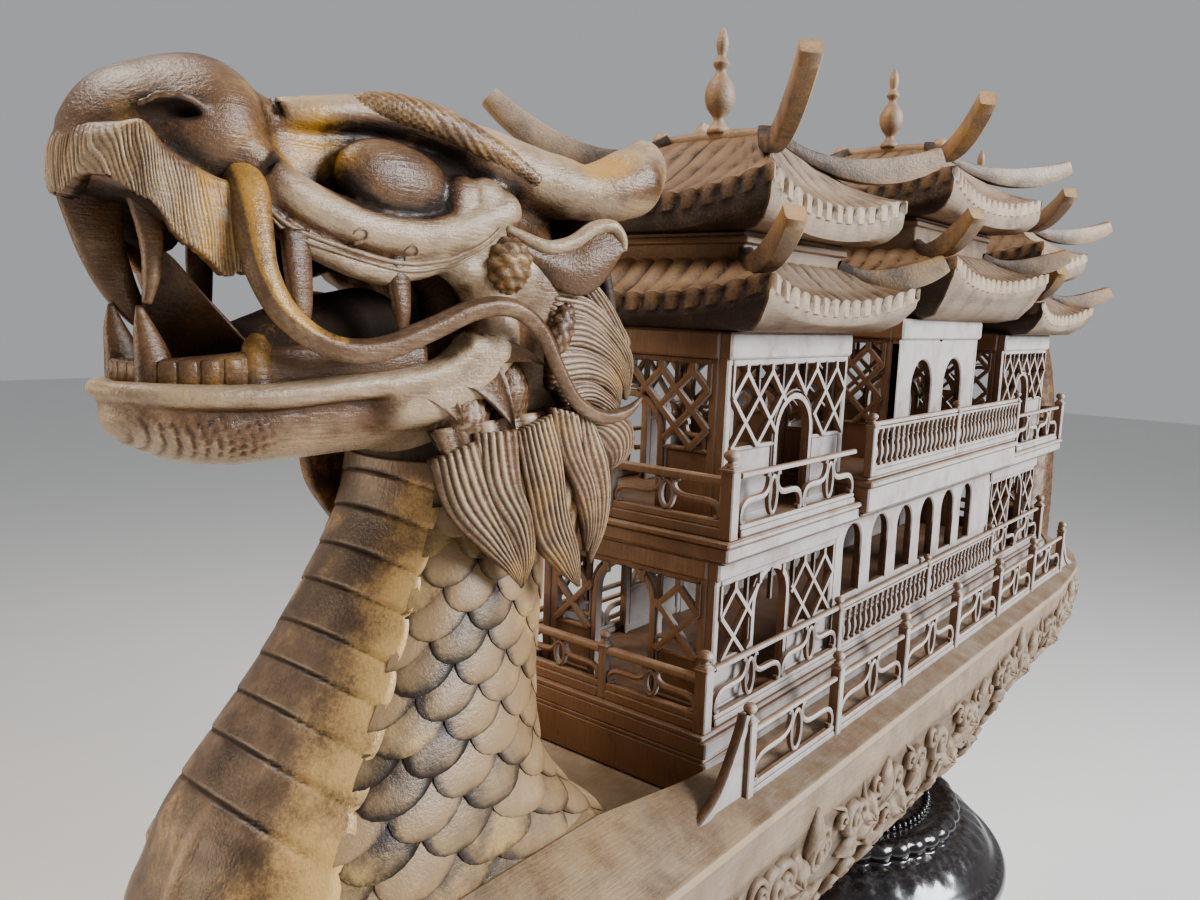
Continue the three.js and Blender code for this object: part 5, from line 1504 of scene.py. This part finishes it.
TILE_PITCH, CORNER_LIFT = 18.5, 18


def roof(stock, middle, edge, eave, top, crown, wall, foot, fascia, tips):
    """A tiled roof in four slopes. Rings run round it; the row's share w carries a ring from
    the top, 0, to the eave, 1. The eave bows in and dips between its corners, half-round
    tile rolls run down the slopes, teeth hang at their ends, and a curved board returns to
    the walls. A square beam rides each hip and turns up past the corner: tips gives the
    ahead and the rear ones' reach past it in x and y and their height."""
    count, slope = 84, 9
    u = np.linspace(-1, 1, count + 1)[:-1]
    share = np.linspace(0, 1, slope)
    w = np.append(share, [1.0, 1.0, 0.975, 0.965, 0.95, 0.90, 0.72, 0.45, 0.0])[:, None]
    fall = np.concatenate([(crown - eave) * (1 - share) ** 1.3, [-1.5, -10, -11],
                           -10 - fascia * np.array([0.5, 0.8, 1, 1, 1, 1])])[:, None]
    row = np.arange(len(w))[:, None]
    level = np.append(np.zeros(slope + 6), [0.35, 0.8, 1.0])[:, None]
    under = row >= slope + 2
    inner = np.where(under, np.array(wall)[:, None, None], np.array(top)[:, None, None])
    reach = inner + (np.array(edge)[:, None, None] - inner) * w
    bow = 11 * w * (1 - u ** 2)
    rise = CORNER_LIFT * np.abs(u) ** 2.3 * w ** 2
    rings = []
    for k in range(4):
        out, along = (reach[0], reach[1]) if k % 2 == 0 else (reach[1], reach[0])
        a = along * u
        lit = 0.0 if k == 3 else 1.0
        roll = ripple(a / TILE_PITCH, 0.6)
        joint = np.mod(w * (slope - 1) / 2.5, 1.0)
        tile = (3.4 * roll + 1.2 * joint) * ~under * (1 - np.abs(u) ** 14) * ramp(0, 0.1, w)
        tooth = (row >= slope) & ~under
        bite = ramp(0.62, 0.78, roll)
        far = out - bow + tooth * 5.0 * (bite - 0.8) * (0.4 + 0.6 * lit)
        z = (eave + rise + fall) * (1 - level) + foot * level + tile * ~tooth
        z = z + 5.0 * (row == slope + 1) * (1 - bite)
        tone = 0.25 + (0.35 * roll - 0.15 * joint) * ~under + lit * tooth * (0.75 * bite - 0.35)
        tone = tone + (0.25 * lit - 0.1) * under - 0.2 * (1 - lit) * tooth
        pair = ((far, a), (-a, far), (-far, -a), (a, -far))[k]
        rings.append(together(*pair, z, tone))
    grid = np.concatenate(rings, 1)
    grid[..., 1] += middle
    stock.add(*tube(grid[..., :3], [0, middle, crown], [0, middle, foot]),
              tone=np.append(grid[..., 3], [0.3, 0.3]))
    v = np.linspace(0, 1, 26)
    size = np.linspace(0, 1, 60)
    girth = together(5.5 + 2.5 * size ** 2, 4.5 + 8.0 * np.sin(np.pi * size ** 1.2) * size + 3.5 * size ** 2)
    for sx in (-1, 1):
        for sy, (past_x, past_y, high) in zip((-1, 1), tips):
            x = top[0] + (edge[0] - top[0]) * v
            y = top[1] + (edge[1] - top[1]) * v
            z = eave + CORNER_LIFT * v ** 2 + (crown - eave) * (1 - v) ** 1.3 + 3
            base = together(sx * x, middle + sy * y, z)
            away = unit(np.array([sx * (edge[0] - top[0]), sy * (edge[1] - top[1]), 0.0]))
            base += np.outer(np.clip((v - 0.2) / 0.8, 0, 1) ** 1.1, [sx * past_x, sy * past_y, 0])
            base += np.outer(np.clip((v - 0.15) / 0.85, 0, 1) ** 1.8, [0, 0, high - z[-1]])
            beam = swept(smooth(base, 60), circle(12, 7), side=(-away[1], away[0], 0), scale=girth)
            stock.add(*beam, tone=np.append(np.repeat(0.2 + 0.4 * size ** 2, 12), [0.3, 0.8]),
                      gilt=np.append(np.repeat(0.15 + 0.35 * size, 12), [0.1, 0.6]))


# Outlines as (radius, height) of the finials and of the knobs at the ridges' ends.
FINIAL = np.array([
    (0, 0), (9, 0), (9.5, 4), (6, 8), (4.5, 12), (6, 15), (11, 22), (12.8, 31), (11, 40), (6, 47),
    (4, 51), (5.6, 54), (7.2, 57), (5.5, 60), (3.5, 63), (4.6, 68), (5.2, 73), (4, 79), (2, 84), (0, 87),
])
RIDGE_KNOB = np.array([(0, -9), (5, -8), (8.5, -3), (8.5, 3), (5, 8), (0, 9)])


# Roofs. Columns: name, middle y, then half width, half length and rise over the fore roof of
# the skirt and of the upper roof, and how much higher its ahead horns rise.
ROOFS = [
    ("fore", 107, 134, 134, 0, 122, 119, 0, 20), ("mid", 464, 142, 160, 32, 130, 149, 42, 6),
    ("aft", 779, 134, 129, 0, 122, 115, 0, 6),
]
# Heights on the fore roof: the skirt's eave and crown, the box's top, the upper roof's eave
# and crown.
LOW_EAVE, LOW_CROWN, BOX_TOP, HIGH_EAVE, HIGH_CROWN = 364, 396, 415, 438, 498


def roofs():
    """A skirt roof round each block, a plain box on it, and a hipped roof with its ridge
    across the boat, knobs at the ridge's ends and a turned finial."""
    for name, middle, low_half, low_long, low_raise, high_half, high_long, high_raise, horn_rise in ROOFS:
        low = Stock()
        roof(low, middle, (low_half, low_long), LOW_EAVE + low_raise,
             (80, low_long - 55), LOW_CROWN + low_raise, (low_half - 44, low_long - 40),
             340 + min(low_raise, 14), 8, ((16, 2, 420 + low_raise), (14, 12, 404 + low_raise)))
        box_top = BOX_TOP + high_raise
        for half, inset, z0, z1, ease, tone in (
            (82, 36, 385 + low_raise, box_top, 1.5, 0.4), (85, 33, box_top - 10, box_top - 4, 1.2, 0.55),
        ):
            reach = high_long - inset
            low.add(*block((-half, middle - reach, z0), (half, middle + reach, z1), ease), tone=tone)
        low.piece(f"{name}_lower_roof", ROOF, crease=45)
        high = Stock()
        roof(high, middle, (high_half, high_long), HIGH_EAVE + high_raise,
             (48, 6), HIGH_CROWN + high_raise, (high_half - 40, high_long - 36), box_top, 14,
             ((26, 6, 506 + high_raise + horn_rise), (18, 16, 494 + high_raise)))
        ridge = [(x, middle, z + high_raise) for x, z in ((-56, 499), (0, 501), (56, 499))]
        high.add(*swept(ridge, circle(12, 3), side=(0, 1, 0), scale=5.5), tone=0.6)
        for x in (-58, 58):
            high.add(*lathe(RIDGE_KNOB + [0, 500 + high_raise], 16, (x, middle)), tone=0.75, gilt=0.3)
        high.piece(f"{name}_upper_roof", ROOF, crease=45)
        outline = smooth(FINIAL + [0, 503 + high_raise], 60)
        Stock().add(*lathe(outline, 28, (0, middle)), tone=0.6, gilt=0.35).piece(f"{name}_finial", ROOF)


# Hull. Columns: y, half width at the deck, X and height of the plank's inner edge.
HULL = np.array([
    (-336, 40, 30, 24), (-334, 104, 80, 24), (-328, 138, 98, 27), (-316, 152, 101, 29),
    (-290, 157, 101, 31), (-150, 158.4, 101, 31), (-60, 158.4, 104, 20), (0, 158.4, 105.6, 16),
    (430, 158.4, 105.6, 16), (780, 158.4, 105.6, 16), (860, 152.5, 105.6, 16), (930, 145, 100, 16),
    (1000, 126, 84, 15), (1060, 98, 62, 13), (1104, 62, 38, 10), (1124, 28, 16, 6),
])
# Depth of the keel along the hull. Columns: y, z.
KEEL = np.array([
    (-336, -130), (-300, -150), (-240, -155), (470, -155), (530, -136), (600, -118), (700, -112),
    (850, -104), (1000, -86), (1124, -52),
])


def keel(y):
    """The height of the hull's lowest line."""
    return np.interp(y, KEEL[:, 0], KEEL[:, 1])


def hull_half(y, z):
    """Half the hull's width: full to the turn of the bilge, then closing on the keel."""
    half = np.interp(y, HULL[:, 0], HULL[:, 1])
    t = np.clip(z / keel(y), 0, 1)
    return half * (1 - 0.035 * t) * (1 - t ** 7) ** (1 / 3)


def hull():
    """The hull: a closed section of sunk deck, sloping plank, lipped edge, side and bilge,
    drawn out along the boat."""
    y = np.concatenate([
        np.linspace(-336, -300, 14), np.linspace(-296, 1060, 104), np.linspace(1064, 1124, 10)])
    half, inner, rise = (np.interp(y, HULL[:, 0], HULL[:, k]) for k in (1, 2, 3))
    floor = np.where((y > -139) & (y < 962), -11.0, rise - 1)
    columns = [(0, floor), (inner - 3, floor), (inner - 1.5, rise - 1.5), (inner, rise)]
    for share in np.linspace(0.05, 0.97, 8):
        columns.append((inner + (half - inner) * share, rise * (1 - share) + 1.2 * np.sin(np.pi * share)))
    columns += [(half + 0.8, 0), (half + 1.5, -2), (half + 1.5, -6), (half - 0.5, -8)]
    for share in np.append(np.linspace(0.06, 0.9, 36), [0.94, 0.97, 0.99]):
        columns.append((hull_half(y, keel(y) * share) - 1.5, keel(y) * share))
    columns.append((0, keel(y)))
    right = np.stack([together(x, y, z) for x, z in columns], 1)
    grid = np.concatenate([right, right[:, -2:0:-1] * [-1, 1, 1]], 1)
    rows, count = grid.shape[:2]
    # Tones by band of the section: pale on the deck and the lip, mid on the plank, darker just under the lip,
    # which is painted shade, and darker from a quarter of the way down the side to the keel.
    shade = np.full(len(columns), 0.34)
    shade[:3], shade[3:12], shade[12:15], shade[15:17], shade[17:25] = 0.85, 0.55, 0.95, 0.4, 0.66
    shade = np.append(shade, shade[-2:0:-1])
    gilt = 0.5 * ramp(140, -120, y)[:, None] * (np.arange(count) < 16)
    return Stock().add(
        *tube(grid, [0, y[0], -80], [0, y[-1], -80]), tone=np.append(np.tile(shade, rows), [0.4, 0.4]),
        gilt=np.append(gilt, [0.1, 0.1]),
    ).piece("hull", HULL_WOOD, crease=40)


def rosette(radius, height, lobes, bite=0.3, rings=6, count=28, twist=0.0):
    """A carved boss: a dome whose rim and surface are lobed by the cosine of the angle, with
    a round bud in the middle and a flat back."""
    rho = np.linspace(0, 1, rings)[1:, None]
    angle = 2 * np.pi * np.arange(count) / count
    lobe = np.abs(np.cos(lobes * (angle + twist * rho) / 2))
    r = radius * rho * (1 - bite + bite * lobe ** 0.7)
    rise = height * (0.35 + 0.65 * np.sin(np.pi * np.clip(rho * 1.1, 0, 1)) ** 0.8) * (0.55 + 0.45 * lobe)
    rise = rise + height * 0.8 * np.exp(-(rho / 0.2) ** 2)
    rise = np.where(rho > 0.99, rise * 0.4, rise)
    front = together(r * np.cos(angle), r * np.sin(angle), rise)
    back = together(r[-1] * 0.9 * np.cos(angle), r[-1] * 0.9 * np.sin(angle), -4.0)
    tone = np.concatenate([(0.25 + 0.5 * lobe).ravel(), np.full(count, 0.1), [0.8, 0.1]])
    return *tube(np.vstack([front, back[None]]), [0, 0, height * 1.15], [0, 0, -4]), tone


def cloud_curl(radius, way):
    """A cloud's curl: a tapering round rope wound one and a half times into a spiral that
    rises to its eye, with a tail that runs on along the hull."""
    t = np.linspace(0, 1, 22)
    angle = way * 3 * np.pi * t
    r = radius * (1 - 0.82 * t)
    path = together(r * np.cos(angle), r * np.sin(angle), 1 + 4.5 * t)
    tail = np.linspace(1, 0, 6)[:-1, None]
    path = np.vstack([path[0] + tail * np.array([-0.5 * radius, -way * 2.0 * radius, -1.5]), path])
    girth = np.interp(np.linspace(0, 1, len(path)), [0, 0.15, 0.4, 1], [0.05, 0.26, 0.3, 0.16]) * radius
    return *swept(path, circle(6, 2.2, 0.5), side=(0, 0, 1), scale=girth[:, None] * [1.15, 1.05]), 0.62


def leaf(length, lean):
    """A pointed leaf with a raised rib and turned-up edges, on a flat back."""
    t = np.linspace(0, 1, 10)[:, None]
    u = np.linspace(-1, 1, 5)
    half = length * 0.24 * np.sin(np.pi * t ** 0.75) + 0.1
    bend = lean * length * 0.35 * t ** 2
    rise = 2.5 + 5 * np.sin(np.pi * t) * (0.5 + 0.5 * np.abs(u) ** 1.5)
    outer = together(length * t, bend + half * u, rise + 2 * np.exp(-(u / 0.2) ** 2) * (1 - t))
    points, quads = slab(outer, outer * [1, 1, 0] + [0, 0, -4])
    return points, quads, NO_TRIANGLES, backed(0.35 + 0.4 * np.abs(u) + 0 * t, 0.1)


def hull_relief():
    """High relief along both sides: flowers, clouds and leaves laid on the hull, each drawn
    flat and then wrapped on to the side it stands on."""
    stock = Stock()

    def lay(part, y, z, turn):
        """A part turned on its flat face and set on the side: b up, a along, depth out."""
        points, quads, ends, tone = part
        a, b = points[:, 0], points[:, 1]
        along = y + a * np.cos(turn) - b * np.sin(turn)
        up = np.maximum(z + a * np.sin(turn) + b * np.cos(turn), keel(along) + 6)
        x = np.minimum(hull_half(along, up) - 2 + points[:, 2] * 1.3, 168)
        stock.add(together(x, along, up), quads, ends, tone=tone, gilt=0.12, mirrored=True)

    curls = (
        (36, 0.42, 14), (16, 0.36, 9), (-20, 0.4, 12), (0, 0.88, 13), (26, 0.84, 15), (46, 0.76, 12),
        (44, 0.6, 10), (-26, 0.82, 11),
    )
    for k in range(19):
        y = -255 + 68 * k + 14 * hashed(k, 3.0)
        deep = keel(y)
        r = hashed(k, 1.0)
        high = deep * (0.52 + 0.16 * (k % 2)) + 4
        if k % 3 != 2:
            lay(rosette(24 + 5 * r, 8, 5, twist=0.4), y, high, 6 * r)
            lay(rosette(12, 10, 6, 0.2, rings=5, count=24), y, high, 5 * r)
            lay(leaf(36 + 8 * r, 1), y + 20, high + 8, 0.5 + 0.5 * r)
            lay(leaf(38, -1), y - 18, high - 6, 3.5 + 0.6 * r)
            lay(leaf(30, 1), y + 8, high - 20, -1.1 + r)
        for m, (ahead, share, size) in enumerate(curls):
            if hashed(k, m, 2.0) < (0.72 if k % 3 != 2 else 1.0):
                curl = cloud_curl(size * (0.9 + 0.4 * hashed(k, m)), 1 if (k + m) % 2 else -1)
                lay(curl, y + ahead, deep * share, 6.28 * hashed(m, k))
    return stock.piece("hull_relief", HULL_WOOD, ())


# Tail. Columns: y, z, half width, half depth.
TAIL = np.array([
    (1076, -128, 40, 38), (1085, -110, 43, 40), (1130, -58, 48, 58), (1162, 20, 44, 52), (1184, 100, 37, 44),
    (1196, 180, 29, 34), (1192, 255, 21, 25), (1168, 312, 14, 18), (1134, 338, 8, 13), (1108, 340, 3, 7),
])


def tail():
    """The tail: scaled like the neck, rising and curling forward to a tapered tip, with a
    crest of flames along its back."""
    rows = smooth(TAIL, 130)
    path = together(0.0, rows[:, 0], rows[:, 1])
    tangent = unit(np.gradient(path, axis=0))
    around = 2 * np.pi * np.arange(64) / 64
    run = np.append(0, np.cumsum(np.linalg.norm(np.diff(path, axis=0), axis=1)))[:, None]
    back = np.cross([1.0, 0, 0], tangent)
    lift = scale_relief(np.abs(around / (2 * np.pi) - 0.5) * 24, -run / 15 + 60)
    lift = np.where(np.cos(around - np.pi / 2) > 0.78, ripple(run / 20) ** 0.4, lift)
    across = (rows[:, 2:3] + 1.6 * lift) * np.cos(around)
    behind = (rows[:, 3:4] + 1.6 * lift) * np.sin(around)
    grid = path[:, None] + across[..., None] * [1.0, 0, 0] + behind[..., None] * back[:, None]
    tone = np.append(0.2 + 0.4 * lift, [0.3, 0.3])
    stock = Stock().add(*tube(grid, path[0], path[-1]), tone=tone, gilt=0.25)
    t = np.linspace(0, 1, 12)[:, None, None]
    u = np.linspace(-1, 1, 7)[None, :, None]
    for at in (16 + 9.8 * np.arange(11)).astype(int):
        ahead, size = tangent[at], rows[at, 3]
        spine = path[at] - back[at] * (size * 0.85 + 0.5 * size * t) + ahead * size * 0.9 * t ** 1.5
        thick = np.array([4.5, 0, 0]) * (1 - 0.6 * t) * (1 - u ** 2 * 0.6)
        outer = spine + ahead * (u * (1 - t) ** 0.7 * size * 0.38) + thick
        points, quads = slab(outer, outer * [-1, 1, 1])
        stock.add(points, quads, tone=0.55, gilt=0.35)
    return stock.piece("tail", DRAGON)


# The stand's three turned parts. Outlines as (radius, height from the floor).
STAND_TOP = [
    (0, 729.7), (70, 729.6), (84, 729), (88, 724), (89, 716), (93, 711), (98, 707), (100, 701),
    (97, 696), (104, 692), (118, 688), (132, 690), (140, 692), (149, 690), (154, 682), (152, 674),
    (156, 671), (163, 669), (176, 661), (187, 650), (193, 642), (197, 638), (204, 635), (208.5, 627),
    (207, 618), (200, 612), (190, 608), (176, 604), (150, 598), (130, 592), (60, 590.4), (0, 590.4),
]
STAND_COLUMN = [
    (0, 590), (122, 589), (127, 584), (122, 577), (104, 570), (84, 552), (70, 520), (64, 480),
    (66, 440), (76, 410), (92, 392), (102, 384), (106, 374), (102, 362), (84, 352), (72, 330),
    (70, 290), (80, 240), (98, 190), (112, 150), (118, 120), (112, 98), (116, 88), (124, 82),
    (120, 75), (0, 74),
]
STAND_FOOT = [
    (0, 74), (126, 73.5), (134, 70), (140, 62), (156, 54), (180, 46), (196, 40), (200, 34),
    (212, 30), (221, 22), (221, 8), (216, 1), (200, 0), (0, 0),
]
BEAD = np.array([(0, -1), (0.5, -0.86), (0.87, -0.5), (1, 0), (0.87, 0.5), (0.5, 0.86), (0, 1)])


def stand_part(name, outline, steps, widest, facets, relief, beads=()):
    """A part of the stand: a smooth curve through its outline, turned about the stand's axis.
    Relief gives the first and last row of the flutes, how many there are, how deep they are,
    their roundness and how far they sink; beads the radius, height, size and count of rings."""
    heights = [height for radius, height in outline]
    curve = np.clip(smooth(outline, steps), [0, min(heights)], [widest, max(heights)])
    first, last, lobes, depth, power, sink = relief
    flutes = lambda angle, row: np.where(
        (row >= first) & (row <= last), depth * np.abs(np.sin(lobes * angle)) ** power - sink, 0.0)
    floor = -ORIGIN[2]
    stock = Stock().add(*lathe(curve + [0, floor], facets, (0, MIDDLE), flutes), tone=0.4)
    for radius, height, size, count in beads:
        for turn in 2 * np.pi * np.arange(count) / count:
            at = (radius * np.cos(turn), MIDDLE + radius * np.sin(turn))
            stock.add(*lathe(BEAD * size + [0, height + floor], 7, at), tone=0.6)
    stock.piece(name, LACQUER, crease=40)


def stand():
    """The round lacquered stand: a top with a slope of petals, a wide rim and two rings of
    beads, a waisted column with flutes, and a moulded foot."""
    stand_part("stand_top", STAND_TOP, 96, 208.5, 160, (38, 56, 20, 3.6, 0.5, 2.6),
               ((118, 690, 4.2, 84), (192, 606, 3.6, 100)))
    stand_part("stand_column", STAND_COLUMN, 100, 127.5, 96, (55, 81, 12, 2.6, 0.6, 2.0))
    stand_part("stand_foot", STAND_FOOT, 90, 222, 132, (26, 46, 20, 2.8, 0.6, 2.2))



lower_storey()
rooms()
decks()
rails()
roofs()
hull()
hull_relief()
tail()
stand()

# Camera, floor and light.

EYE_POINT = (0.4532, -1.0148, 1.2372)
EYE_RIGHT = np.array([0.7786, 0.6369, 0.0358])
EYE_AHEAD = np.array([-0.6164, 0.7659, -0.1443])


def camera():
    """The photograph's viewpoint: where the walls' vanishing points put it."""
    ahead = unit(EYE_AHEAD)
    right = unit(EYE_RIGHT - ahead * (EYE_RIGHT @ ahead))
    up = np.cross(right, ahead)
    data = bpy.data.cameras.new("view")
    data.sensor_width, data.lens = 36.0, 28.5
    data.clip_start = 0.02
    eye = bpy.data.objects.new("view", data)
    turn = Matrix([[right[k], up[k], -ahead[k]] for k in range(3)]).to_4x4()
    eye.matrix_world = Matrix.Translation(EYE_POINT) @ turn
    bpy.context.scene.collection.objects.link(eye)
    bpy.context.scene.camera = eye


def lamp(name, at, towards, size, power, colour):
    """A square soft light."""
    data = bpy.data.lights.new(name, "AREA")
    data.size, data.energy, data.color = size, power, colour
    light = bpy.data.objects.new(name, data)
    back = unit(np.array(at, float) - np.array(towards, float))
    side = unit(np.cross([0, 0, 1.0], back))
    turn = Matrix(np.stack([side, np.cross(back, side), back], -1).tolist()).to_4x4()
    light.matrix_world = Matrix.Translation(at) @ turn
    bpy.context.scene.collection.objects.link(light)


def studio():
    """A plain pale floor and soft light: a cool window side to port and astern, a warm fill
    ahead of the bow."""
    mesh = bpy.data.meshes.new("floor")
    h = 14.0
    mesh.from_pydata([(-h, -h, 0), (h, -h, 0), (h, h, 0), (-h, h, 0)], [], [(0, 1, 2, 3)])
    floor = bpy.data.objects.new("floor", mesh)
    paint = Paint("floor")
    shade = paint.mix(paint.noise(3.0), (0.74, 0.73, 0.71), (0.78, 0.77, 0.75))
    mesh.materials.append(paint.finish(Base_Color=shade, Roughness=0.75))
    bpy.context.scene.collection.objects.link(floor)
    world = bpy.data.worlds.new("studio")
    world.use_nodes = True
    world.node_tree.nodes["Background"].inputs[0].default_value = (0.80, 0.82, 0.85, 1)
    world.node_tree.nodes["Background"].inputs[1].default_value = 0.42
    bpy.context.scene.world = world
    middle = (0, 0, 1.0)
    lamp("window", (3.0, 1.0, 2.5), middle, 1.5, 190, (0.92, 0.96, 1.0))
    lamp("overhead", (-0.8, -1.2, 3.3), middle, 1.2, 62, (1.0, 0.94, 0.86))
    lamp("warm_fill", (-1.8, -2.6, 1.3), middle, 1.2, 30, (1.0, 0.80, 0.58))


camera()
studio()
bpy.context.scene.view_settings.view_transform = "AgX"
bpy.context.scene.view_settings.look = "AgX - Medium High Contrast"
